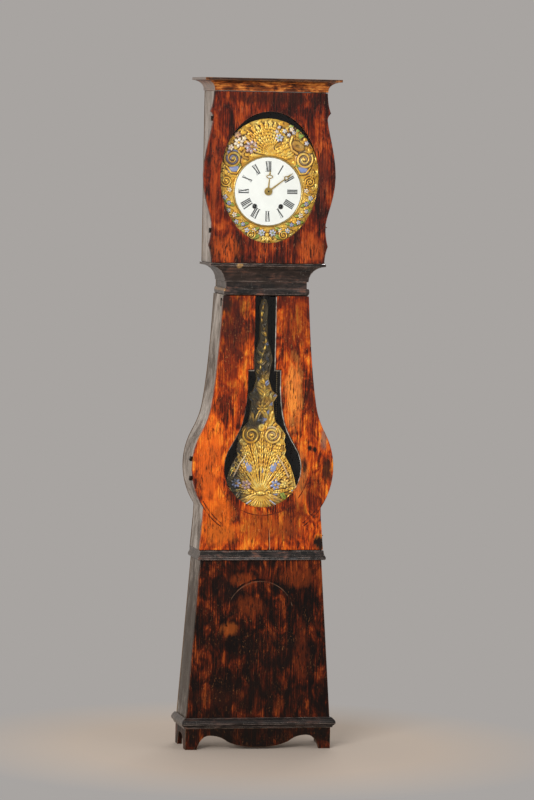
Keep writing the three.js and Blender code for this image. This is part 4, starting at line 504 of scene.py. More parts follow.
@recipe
def vitreous_enamel(tree):
    """White glass fused on copper: bluish white, wet-looking, with the faint waviness of a fired surface"""
    cloud = pattern(tree, 55, 0.3, 0.7)
    colour = add(tree, "ValToRGB", Fac=cloud, stops=[(0.0, "#f0f1f0"), (1.0, "#f8f9f8")])
    wave = add(tree, "Bump", Height=cloud, Distance=0.15 * MM, Strength=0.5)
    return add(tree, "BsdfPrincipled", Base_Color=colour, Roughness=0.12, Normal=wave, IOR=1.52,
               Coat_Weight=0.5, Coat_Roughness=0.05)


@recipe
def fired_black(tree):
    """The numerals' ground black, fired into the enamel, thin enough to look charcoal grey"""
    colour = add(tree, "ValToRGB", Fac=pattern(tree, 5, 0.3, 0.7), stops=[(0.2, "#16181b"), (0.9, "#2f3338")])
    return add(tree, "BsdfPrincipled", Base_Color=colour, Roughness=0.3, IOR=1.52)


@recipe
def drawn_glass(tree):
    """Old drawn glass: clear, barely green, slightly wavy, so its reflections wander. Head on it mirrors
    little, because the room in front of it is dark, and at a flat slant it mirrors nearly everything."""
    wave = add(tree, "Bump", Height=pattern(tree, (70, 70, 120), 0.2, 0.8), Distance=0.4 * MM, Strength=0.4)
    clear = add(tree, "BsdfTransparent", Color="#fefffe")
    gloss = add(tree, "BsdfGlossy", Color="#ffffff", Roughness=0.03, Normal=wave)
    slant = add(tree, "LayerWeight", output="Facing", Blend=0.5, Normal=wave)
    steep = add(tree, "Math", operation="POWER", in0=slant, in1=5.0)
    share = add(tree, "Math", operation="MULTIPLY_ADD", in0=steep, in1=0.98, in2=0.015)
    return add(tree, "MixShader", Fac=share, in1=clear, in2=gloss)


@recipe
def old_putty(tree):
    """Linseed putty gone hard: pale grey, matt, a little dirty in its hollows"""
    cloud = pattern(tree, (9, 9, 22), 0.35, 0.65)
    colour = add(tree, "ValToRGB", Fac=cloud, stops=[(0.1, "#6f695f"), (0.5, "#a39d92"), (0.9, "#c4beb3")])
    uneven = add(tree, "Bump", Height=cloud, Distance=0.3 * MM, Strength=0.6)
    return add(tree, "BsdfPrincipled", Base_Color=colour, Roughness=0.8, Normal=uneven)


@recipe
def twisted_hemp(tree):
    """Three-strand hemp: straw brown, matt, with the dark lines of its lay"""
    where = add(tree, "TexCoord", output="Object")
    lay = add(tree, "TexWave", output="Fac", Vector=where, wave_type="BANDS", bands_direction="DIAGONAL",
              Scale=90.0, Distortion=1.5, Detail=2.0)
    colour = add(tree, "ValToRGB", Fac=lay, stops=[(0.15, "#4e3d28"), (0.6, "#9c8358"), (0.95, "#bda373")])
    twist = add(tree, "Bump", Height=lay, Distance=0.5 * MM, Strength=0.9)
    return add(tree, "BsdfPrincipled", Base_Color=colour, Roughness=0.88, Normal=twist)


FINISHES = {
    "trunk_pine": TRUNK_DOOR_PINE,
    "hood_pine": HOOD_DOOR_PINE,
    "dark_pine": LOWER_CASE_PINE,
    "moulding_pine": MOULDING_PINE,
    "side_pine": SIDE_BOARD_PINE,
    "bare_pine": BARE_PINE,
    "window_glass": drawn_glass("window_pane"),
    "pressed_brass": sheet_brass("pressed_brass"),
    "dial_enamel": vitreous_enamel("vitreous_enamel"),
    "wheel_brass": metal("cut_brass", [(0.1, "#9a7330"), (0.9, "#c79c4c")], "#5c4a26", 0.30, 0.25),
    "bell_bronze": metal("bell_bronze", [(0.1, "#80623a"), (0.9, "#ab8a58")], "#4b3c28", 0.30, 0.2, size=45),
    "steel": metal("forged_steel", [(0.1, "#6f7073"), (0.9, "#9a9b9c")], "#4a3c32", 0.34, 0.3),
    "wrought_iron": metal("wrought_iron", [(0.1, "#1d1b1a"), (0.9, "#3b3632")], "#4d3022", 0.48, 0.25,
                          bump=0.25, grit=3.5),
    "cast_iron": metal("cast_iron", [(0.1, "#191817"), (0.9, "#2f2c2a")], "#4a2e20", 0.55, 0.25,
                       bump=0.35, grit=2.6, metallic=0.8),
    "hemp_line": twisted_hemp("hemp_line"),
}
GILT_HANDS = metal("gilt_brass", [(0.1, "#b8964e"), (0.9, "#ddc07a")], "#7c6534", 0.28, 0.15, reach=0.6)
OWN_FINISHES = {"minute_hand": GILT_HANDS, "hour_hand": GILT_HANDS, "cornice": CORNICE_PINE}


def dress_nodes():
    """Every node that stays gets the finish of its material slot, or its own where it has one"""
    for row in frame["record"]["subparts"]:
        materials = bpy.data.objects[row["node"]].data.materials
        materials.clear()
        materials.append(OWN_FINISHES.get(row["node"], FINISHES[row["material_slot"]]))


dress_nodes()


def quads(first, second):
    """Faces between two lines of point numbers, or between two sheets of such lines"""
    return np.stack([first[:-1], second[:-1], second[1:], first[1:]], -1).reshape(-1, 4).tolist()


def skin(rings, side, closed=False):
    """Faces over rings of side points each; a run that isn't closed gets a cap at each end"""
    number = np.arange(rings * side).reshape(rings, side)
    number = np.hstack([number, number[:, :1]])
    if closed:
        number = np.vstack([number, number[:1]])
        return quads(number[:, :-1], number[:, 1:])
    return quads(number[:, :-1], number[:, 1:]) + [number[0, :-1].tolist(), number[-1, :-1].tolist()]


def new_piece(name, points, faces, smooth, finish, body, replaced=None):
    """Makes a closed piece from points in millimetres and lets it ride on a body. Its faces turn outwards,
    and the first ones, as many as smooth says, are shaded smooth."""
    mesh = bpy.data.meshes.new(name)
    mesh.from_pydata((np.array(points) * MM).tolist(), [], faces)
    mesh.polygons.foreach_set("use_smooth", [place < smooth for place in range(len(faces))])
    mesh.materials.append(finish)
    shell = bmesh.new()
    shell.from_mesh(mesh)
    bmesh.ops.recalc_face_normals(shell, faces=shell.faces)
    shell.to_mesh(mesh)
    shell.free()
    piece = put_in_scene(name, mesh)
    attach(piece, body)
    if replaced:
        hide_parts(replaced)
    return piece


# Relief pressed into sheet brass

# Colour of each varnish, and how much of the brass it covers
TINTS = {
    "gold": ("#e6b64c", 0.0),
    "pale": ("#f2dc9a", 0.25),
    "olive": ("#6b5826", 0.55),
    "umber": ("#8a5c34", 0.70),
    "silver": ("#cdd0d6", 0.45),
    "blue": ("#6c96de", 0.95),
    "sky": ("#b9cdf0", 0.95),
    "green": ("#6da346", 0.90),
    "cream": ("#f3eae0", 0.95),
    "pink": ("#cf9f9a", 0.90),
    "lilac": ("#a58aa6", 0.90),
}
GRAINS_IN_EAR = 7


def polar(reach, turn):
    """x and z at a reach from the middle, at an angle in degrees from x towards z"""
    return reach * math.cos(math.radians(turn)), reach * math.sin(math.radians(turn))


class Relief:
    """A sheet of points on which raised ornaments are laid; where two meet, the higher one shows.
    All lengths are millimetres, x to the right and z up, and angles are degrees from x towards z."""

    def __init__(self, x, z):
        self.x = x
        self.z = z
        self.height = np.zeros_like(x)
        self.tint = np.empty(x.shape + (4,))
        self.tint[:] = linear(TINTS["gold"][0])
        self.varnish = np.zeros_like(x)
        self.patina = np.zeros_like(x)

    def lay(self, height, tint):
        wins = height > np.maximum(self.height, 0.05)
        self.height = np.where(wins, height, self.height)
        self.tint[wins] = linear(TINTS[tint][0])
        self.varnish[wins] = TINTS[tint][1]

    def turned(self, x, z, angle):
        """Every point as seen from x, z: along the angle and across it"""
        over, up = polar(1, angle)
        return (self.x - x) * over + (self.z - z) * up, (self.z - z) * over - (self.x - x) * up

    def blade(self, x, z, angle, length, bend):
        """Each point's share of the way to a blade's tip, its distance from the bent rib, and whether it
        lies between foot and tip"""
        along, across = self.turned(x, z, angle)
        share = np.clip(along / length, 0, 1)
        return share, across - bend * length * share ** 2, (along > 0) & (along < length)

    def dome(self, x, z, half_x, half_z, rise, tint="gold", angle=0.0, dish=0.0):
        """An oval boss; dish hollows its middle"""
        along, across = self.turned(x, z, angle)
        away = np.hypot(along / half_x, across / half_z)
        bulge = np.sqrt(np.clip(1 - away ** 2, 0, None))
        self.lay(rise * bulge * (1 - dish * np.exp(-(away / 0.45) ** 2)), tint)

    def leaf(self, x, z, angle, length, width, rise, tint="gold", bend=0.0, lobes=0):
        """A pointed leaf with a sunk midrib; bend curls it sideways, lobes nick its edges"""
        share, across, inside = self.blade(x, z, angle, length, bend)
        half = width / 2 * np.sin(math.pi * share ** 0.75) + 1e-6
        if lobes:
            half = half * (0.78 + 0.22 * np.abs(np.sin(math.pi * lobes * share)))
        side = np.sqrt(np.clip(1 - (across / half) ** 2, 0, None))
        rib = 1 - 0.45 * np.exp(-(across / (0.16 * width)) ** 2)
        swell = 0.45 + 0.55 * np.sin(math.pi * share)
        self.lay(np.where(inside, rise * side * rib * swell, 0), tint)

    def ear(self, x, z, angle, length, width, rise, bend):
        """An ear of wheat: two rows of plump grains that lean outwards"""
        share, across, inside = self.blade(x, z, angle, length, bend)
        half = width / 2 * (np.sin(math.pi * np.clip(share, 0.06, 0.97)) ** 0.6) + 1e-6
        beat = GRAINS_IN_EAR * share - 0.55 * np.abs(across) / half
        grain = np.abs(np.sin(math.pi * beat)) ** 0.6
        side = np.sqrt(np.clip(1 - (across / half) ** 2, 0, None))
        parted = 1 - 0.5 * np.exp(-(across / (0.14 * width)) ** 2)
        self.lay(np.where(inside, rise * side * parted * (0.35 + 0.65 * grain), 0), "gold")

    def ridge(self, points, width, rise, tint="gold", twist=0.0):
        """A round bar along a line of points; twist is the pitch of a rope-like lay"""
        best = np.full(self.x.shape, 1e9)
        run = np.zeros(self.x.shape)
        done = 0.0
        for (x0, z0), (x1, z1) in zip(points, points[1:]):
            length = math.hypot(x1 - x0, z1 - z0)
            along = ((self.x - x0) * (x1 - x0) + (self.z - z0) * (z1 - z0)) / length
            held = np.clip(along, 0, length)
            away = np.hypot(self.x - x0 - held * (x1 - x0) / length, self.z - z0 - held * (z1 - z0) / length)
            nearer = away < best
            best = np.where(nearer, away, best)
            run = np.where(nearer, done + held, run)
            done += length
        round_bar = np.sqrt(np.clip(1 - (best / (width / 2)) ** 2, 0, None))
        if twist:
            round_bar = round_bar * (0.72 + 0.28 * np.sin(2 * math.pi * (run + best * 0.8) / twist))
        self.lay(rise * round_bar, tint)

    def volute(self, x, z, radius, rise, hand=1, start=0.0, tint="gold", inner="gold"):
        """A spiral scroll whose band narrows as it winds in one and three quarter turns to a round eye"""
        steps = np.linspace(0, 1.75 * 2 * math.pi, 60)
        reach = radius * (1 - steps / steps[-1] * 0.80)
        turn = math.radians(start) + hand * steps
        line = list(zip(x + reach * np.cos(turn), z + reach * np.sin(turn)))
        self.dome(x, z, radius * 1.02, radius * 1.02, rise * 0.45, inner)
        self.ridge(line[:34], radius * 0.30, rise, tint)
        self.ridge(line[33:], radius * 0.20, rise * 0.9, tint)
        self.dome(x, z, radius * 0.20, radius * 0.20, rise * 1.05, tint)

    def flower(self, x, z, radius, rise, petals=5, tint="sky", heart="gold", start=0.0):
        """Rounded petals, each dished, round a raised heart"""
        along, across = self.turned(x, z, start)
        away = np.hypot(along, across)
        turn = np.arctan2(across, along)
        lobe = np.abs(np.cos(petals * turn / 2))
        edge = radius * (0.62 + 0.38 * lobe)
        share = np.clip(away / edge, 0, 1)
        petal = np.sqrt(np.clip(1 - share ** 4, 0, None)) * (0.55 + 0.45 * lobe ** 0.5)
        self.lay(np.where(away < edge, rise * petal * (0.65 + 0.35 * share), 0), tint)
        self.dome(x, z, radius * 0.26, radius * 0.26, rise * 1.25, heart)

    def sheaf(self, x, z, angles, lengths, width, rise, bend=0.0, stem=0.55):
        """Ears of wheat on straws that spread from one point"""
        for place, (angle, length) in enumerate(zip(angles, lengths)):
            over, up = polar(length * stem, angle)
            straw = "pale" if place % 3 == 0 else "gold"
            self.ridge([(x, z), (x + over, z + up)], width * 0.28, rise * 0.5, straw)
            self.ear(x + over, z + up, angle, length * (1 - stem), width, rise, bend)

    def stipple(self, depth, pitch):
        """Fine punch marks over everything, so that no field is left smooth"""
        wave = 0.0
        for turn in (0, 57, 118):
            along, across = self.turned(0, 0, turn)
            wave = wave + np.sin(2 * math.pi * along / pitch + 1.7 * np.sin(across / pitch * 1.9))
        self.height = self.height + depth * wave / 3

    def hollows(self, reach):
        """0 on the heights to 1 in the hollows, by comparing each point with its neighbourhood"""
        mean = self.height
        span = 2 * reach + 1
        for axis in (0, 1):
            sides = [(reach, reach) if axis == side else (0, 0) for side in (0, 1)]
            wide = np.pad(mean, sides, mode="edge")
            count = mean.shape[axis]
            mean = sum(np.take(wide, range(k, k + count), axis) for k in range(span)) / span
        return np.clip((mean - self.height) / 1.5 + 0.20, 0, 1)


def slice_half_width(node, heights):
    """Half the width of a node that is alike on both sides, at each height, in millimetres"""
    mesh = bpy.data.objects[node].data
    points = np.array([v.co for v in mesh.vertices]) / MM
    ends = np.array([e.vertices[:] for e in mesh.edges])
    first, last = points[ends[:, 0]], points[ends[:, 1]]
    rise = last[:, 2] - first[:, 2]
    slanted = np.abs(rise) > 1e-6
    first, last, rise = first[slanted], last[slanted], rise[slanted]
    halves = []
    for height in heights:
        share = (height - first[:, 2]) / rise
        crossing = (share >= 0) & (share <= 1)
        across = np.abs(first[:, 0] + share * (last[:, 0] - first[:, 0]))[crossing]
        halves.append(across.max() if len(across) else 0.0)
    return np.array(halves)


def relief_object(name, relief, front_y, back_y, closed_round, body, node):
    """Makes the closed sheet: the relief in front, a flat back behind, and walls along its borders"""
    rows, columns = relief.x.shape
    count = rows * columns
    front = np.stack([relief.x, front_y - relief.height, relief.z], -1).reshape(-1, 3)
    rims = np.stack([relief.x, np.full_like(relief.x, back_y), relief.z], -1)[:, [0, -1]].reshape(-1, 3)
    number = np.arange(count).reshape(rows, columns)
    back = count + np.arange(rows * 2).reshape(rows, 2)
    if closed_round:
        number = np.vstack([number, number[:1]])
        back = np.vstack([back, back[:1]])
    faces = quads(number[:, :-1], number[:, 1:])
    smooth = len(faces)
    for first, second in ((back[:, 1], back[:, 0]), (back[:, 0], number[:, 0]), (number[:, -1], back[:, 1])):
        faces += quads(first, second)
    if not closed_round:
        faces.append(number[0, ::-1].tolist() + [back[0, 0], back[0, 1]])
        faces.append(number[-1].tolist() + [back[-1, 1], back[-1, 0]])
    points = np.vstack([front, rims])
    piece = new_piece(name, points, faces, smooth, FINISHES["pressed_brass"], body, node)
    new_field = piece.data.attributes.new
    # The hollows give the painted shade that tones the relief brown
    fields = (("depth", relief.hollows(3)), ("varnish", relief.varnish), ("patina", relief.patina))
    for field, values in fields:
        flat = np.concatenate([values.reshape(-1), np.zeros(rows * 2)])
        new_field(field, "FLOAT", "POINT").data.foreach_set("value", flat.astype(np.float32))
    tint = np.vstack([relief.tint.reshape(-1, 4), np.tile(linear(TINTS["gold"][0]), (rows * 2, 1))])
    new_field("tint", "FLOAT_COLOR", "POINT").data.foreach_set("color", tint.astype(np.float32).ravel())
    return piece


# Dial: pressed surround, bezel, numerals and winding eyelets

ENAMEL_LOW, ENAMEL_HIGH = box_mm("dial_enamel")
DIAL_Z = (ENAMEL_LOW[2] + ENAMEL_HIGH[2]) / 2
ENAMEL_RADIUS = (ENAMEL_HIGH[0] - ENAMEL_LOW[0]) / 2
SHEET_FRONT_Y = -46.0
SHEET_BACK_Y = -44.0
HIGHEST_ON_DIAL = 7.6
DIAL_STIPPLE = (0.35, 4.2)
BEZEL_OUTER = 124.2
BEZEL_FRONT_Y = -52.0
CAGE_FRONT_Y = -6.3
FOOT_BORE, FOOT_RADIUS = 0.6, 3.0
FEET_AT = ((-116, 1850), (116, 1850), (-116, 2030), (116, 2030))
EYELET_INNER, EYELET_OUTER = 6.4, 9.2
EYELET_BASE_Y, EYELET_FRONT_Y = -49.2, -50.9
WINDING_HOLE_X, WINDING_HOLE_DROP = 46, 52
SURROUND_AROUND = 640
SURROUND_ACROSS = 66


def surround_grid():
    """Points from the bezel out to the sheet's own border, in rings round the dial's centre"""
    low, high = box_mm("dial_surround")
    heights = np.linspace(low[2] + 0.3, high[2] - 0.3, 420)
    halves = slice_half_width("dial_surround", heights)
    turns = np.linspace(0, 2 * math.pi, SURROUND_AROUND, endpoint=False)
    reach = np.arange(ENAMEL_RADIUS, 320, 0.5)
    z = DIAL_Z + np.outer(np.sin(turns), reach)
    inside = np.abs(np.outer(np.cos(turns), reach)) <= np.interp(z, heights, halves, left=-1, right=-1)
    border = reach[np.argmin(inside, axis=1) - 1]
    share = np.linspace(0, 1, SURROUND_ACROSS)
    radius = ENAMEL_RADIUS + 0.6 + np.outer(border - ENAMEL_RADIUS - 0.6, share)
    return radius * np.cos(turns)[:, None], radius * np.sin(turns)[:, None], radius


def dial_surround():
    """Wheat over the dial, flowers and a horn beside it, scrolls with blue bulbs, flower trails down to a
    palmette. Heights are measured from the dial's centre."""
    *grid, radius = surround_grid()
    relief = Relief(*grid)
    for ring, reach in enumerate((130, 143, 156, 169, 184, 200, 216, 232)):
        count = round(2 * math.pi * reach / 19)
        for place in range(count):
            turn = 360 / count * (place + ring / 2)
            lean = 62 if place % 2 else -48
            tint = "olive" if turn > 190 and place % 3 == 0 else "gold"
            relief.leaf(*polar(reach, turn), turn + lean, 25, 11, 3.0, tint, bend=0.2)
    left_ears = (126, 132, 136, 138, 138, 134, 126, 116)
    middle_ears = (104, 112, 116, 118, 118, 114)
    relief.sheaf(26, 116, np.linspace(108, 160, 8), left_ears, 17, 6.5, stem=0.34)
    relief.sheaf(0, 126, np.linspace(62, 104, 6), middle_ears, 16, 6.0, stem=0.36)
    relief.sheaf(-10, 122, (28, 14, 2), (112, 106, 96), 19, 6.2, bend=-0.08, stem=0.25)
    relief.leaf(20, 120, 36, 96, 34, 6.5, "gold", bend=-0.12, lobes=6)
    relief.leaf(40, 112, 20, 70, 24, 6.0, "gold", bend=0.15, lobes=5)
    for flower in (
        (-112, 194, 13, 6, 5, "pink", "pale"), (-106, 167, 19, 7, 6, "cream", "gold", 20),
        (-87, 182, 9, 6.5, 5, "cream", "gold"), (-134, 150, 12, 6.5, 5, "cream", "pink"),
        (-61, 154, 26, 7, 8, "lilac", "umber"), (36, 186, 16, 7, 6, "sky", "green", 10),
        (80, 215, 9, 7, 5, "cream", "gold"), (134, 168, 9, 6.5, 5, "sky", "cream"),
    ):
        relief.flower(*flower)
    for turn in range(20, 380, 60):
        over, up = polar(15, turn)
        relief.dome(-61 + over, 154 + up, 5, 4, 7.4, "sky", turn)
    relief.ridge([(-84, 140), (-92, 128), (-88, 116), (-74, 112)], 9, 5.5, "umber")
    for x, z, size in ((27, 207, 8), (55, 209, 9), (35, 222, 7), (70, 196, 8), (88, 204, 8)):
        relief.flower(x, z, size, 6.8, 5, "sky", "pale", x)
    for x, z, turn, length in ((70, 224, 20, 30), (96, 206, 40, 28), (104, 190, 10, 26), (112, 182, 95, 24)):
        relief.leaf(x, z, turn, length, 13, 6.8, "green", bend=0.15)
    relief.dome(102, 158, 27, 17, 7, "umber", -24, dish=0.75)
    relief.ridge([(82, 190), (75, 166), (82, 144), (100, 132)], 9, 7.2, "pale")
    for side, outer, inner in ((-1, "olive", "blue"), (1, "pale", "silver")):
        relief.volute(side * 126, 112, 31, 7.2, -side, 90 - side * 60, outer, inner)
        relief.dome(side * 122, 76, 24, 17, 7, "blue", side * -12)
        relief.ridge([(side * 98, 84), (side * 112, 62), (side * 132, 64), (side * 148, 84)], 7, 7.4)
        relief.leaf(side * 96, 84, 90 - side * 55, 26, 13, 7.2, "green")
        relief.volute(side * 148, 34, 18, 6.5, -side, 200)
        edge = [(side * 160, 72), (side * 157, 48), (side * 136, 22), (side * 142, -4)]
        relief.ridge(edge, 7, 6, twist=9)
        relief.flower(side * 136, 4, 9, 6.4, 5, "cream", "pink")
        for step, turn in enumerate(range(-8, -74, -9)):
            over, z = polar(148 + 5 * (-1) ** step, turn)
            x = side * over
            relief.leaf(x, z, 90 + side * (turn + 130), 24, 11, 5.6, "green" if step % 2 else "gold")
            relief.leaf(x, z, 90 + side * (turn - 40), 22, 11, 5.6, "green" if step % 3 else "gold")
            tint = ("sky", "blue", "sky", "cream")[step % 4]
            relief.flower(x, z, 10 - step % 3, 6.6, 5, tint, "pale", turn)
        relief.volute(side * 58, -150, 17, 6.4, side, 90)
        relief.flower(side * 19, -143, 13, 6.8, 6, "sky", "green", 15)
        relief.leaf(side * 26, -150, 90 - side * 118, 34, 15, 6, "green")
        relief.leaf(side * 4, -156, 270 + side * 38, 26, 12, 6.4)
    relief.leaf(0, -152, 270, 30, 15, 7, "pale")
    relief.dome(0, -150, 8, 8, 7.4)
    relief.stipple(*DIAL_STIPPLE)
    flat_by_bezel = np.clip((radius - ENAMEL_RADIUS - 5) / 5, 0, 1)
    relief.height = np.clip(relief.height, 0, HIGHEST_ON_DIAL) * flat_by_bezel
    relief.z = relief.z + DIAL_Z
    relief_object("dial_surround_relief", relief, SHEET_FRONT_Y, SHEET_BACK_Y, True, "case", "dial_surround")


def turned_piece(name, profile, around, finish, centre, node=None):
    """A ring of the case, turned about a line that runs to the back through centre; profile is a closed list
    of radius and y, in millimetres"""
    points = []
    for turn in np.linspace(0, 360, around, endpoint=False):
        for radius, y in profile:
            over, up = polar(radius, turn)
            points.append((centre[0] + over, y, centre[1] + up))
    faces = skin(around, len(profile), closed=True)
    new_piece(name, points, faces, len(faces), finish, "case", node)


def half_round(inner, outer, base_y, front_y, steps):
    """Profile of a ring with a round front and a flat back"""
    middle, half = (inner + outer) / 2, (outer - inner) / 2
    turns = [math.pi * k / steps for k in range(steps + 1)]
    return [(middle - half * math.cos(t), base_y + (front_y - base_y) * math.sin(t)) for t in turns]


def dial_furniture():
    """The bezel, its four feet behind the sheet, and dark eyelets in the two winding holes"""
    bezel = half_round(ENAMEL_RADIUS + 0.3, BEZEL_OUTER, SHEET_FRONT_Y - 0.2, BEZEL_FRONT_Y, 10)
    turned_piece("dial_bezel", bezel, 180, GILT_HANDS, (0, DIAL_Z), node="dial_surround")
    foot = [(FOOT_BORE, CAGE_FRONT_Y), (FOOT_RADIUS, CAGE_FRONT_Y)]
    foot += [(radius, SHEET_BACK_Y - 0.2) for radius in (FOOT_RADIUS, FOOT_BORE)]
    for place, centre in enumerate(FEET_AT, 1):
        turned_piece(f"surround_foot_{place}", foot, 20, GILT_HANDS, centre, node="dial_surround")
    eyelet = half_round(EYELET_INNER, EYELET_OUTER, EYELET_BASE_Y, EYELET_FRONT_Y, 8)
    for name, side in (("left", -1), ("right", 1)):
        centre = (side * WINDING_HOLE_X, DIAL_Z - WINDING_HOLE_DROP)
        turned_piece(f"winding_eyelet_{name}", eyelet, 40, FINISHES["steel"], centre)


HOURS = ["I", "II", "III", "IIII", "V", "VI", "VII", "VIII", "IX", "X", "XI", "XII"]
NUMERAL_FOOT = 68.0
NUMERAL_HEAD = 104.0
THICK = 3.8
THIN = 1.1
SERIF = 0.9
BURIED = -0.28
RAISED = 0.15
DOME_RISE = 2.3
# Where each letter's strokes stand at the foot and at the head, to the right of its middle, and their width
STROKES = {
    "I": [(0, 0, THICK)],
    "V": [(0, -3.4, THICK), (0.8, 4.2, THIN)],
    "X": [(3.4, -3.4, THICK), (-3.6, 3.8, THIN)],
}
LETTER_WIDTH = {"I": 5.4, "V": 10.6, "X": 10.2}


def dial_numerals():
    """Radial hour numerals, their heads outwards, each stroke a thin raised bar that follows the dome"""
    shell = np.array([v.co for v in bpy.data.objects["dial_enamel"].data.vertices]) / MM
    front = shell[shell[:, 1] < ENAMEL_LOW[1] + DOME_RISE]
    reach = np.hypot(front[:, 0], front[:, 2] - DIAL_Z)
    order = np.argsort(reach)
    points, faces = [], []

    def bar(turn, foot, head, width, low, high):
        """A bar that stands at foot on the height low and at head on high, in a numeral turned by turn"""
        half = width / 2
        corners = ((foot - half, low), (foot + half, low), (head + half, high), (head - half, high))
        first = len(points)
        for lift in (BURIED, RAISED):
            for across, up in corners:
                x = across * math.cos(turn) + up * math.sin(turn)
                z = up * math.cos(turn) - across * math.sin(turn)
                y = np.interp(math.hypot(x, z), reach[order], front[order, 1])
                points.append((x, y + lift, z + DIAL_Z))
        faces.extend([first + k for k in face] for face in skin(2, 4))

    for hour, word in enumerate(HOURS, 1):
        turn = math.radians(30 * hour)
        left = -sum(LETTER_WIDTH[letter] for letter in word) / 2
        for letter in word:
            wide = LETTER_WIDTH[letter]
            middle = left + wide / 2
            for foot, head, width in STROKES[letter]:
                bar(turn, middle + foot, middle + head, width, NUMERAL_FOOT, NUMERAL_HEAD)
            for up in (NUMERAL_FOOT, NUMERAL_HEAD - SERIF):
                bar(turn, middle, middle, wide + 0.2, up, up + SERIF)
            left += wide
    new_piece("dial_numerals", points, faces, 0, fired_black("fired_black"), "case")


# Pendulum plate

PLATE_LOW, PLATE_HIGH = box_mm("pendulum_plate")
PLATE_FRONT_Y = -22.8
PLATE_BACK_Y = -19.8
HIGHEST_ON_PLATE = 8.6
PLATE_STIPPLE = (0.4, 4.0)
PLATE_ROWS = 480
PLATE_COLUMNS = 151


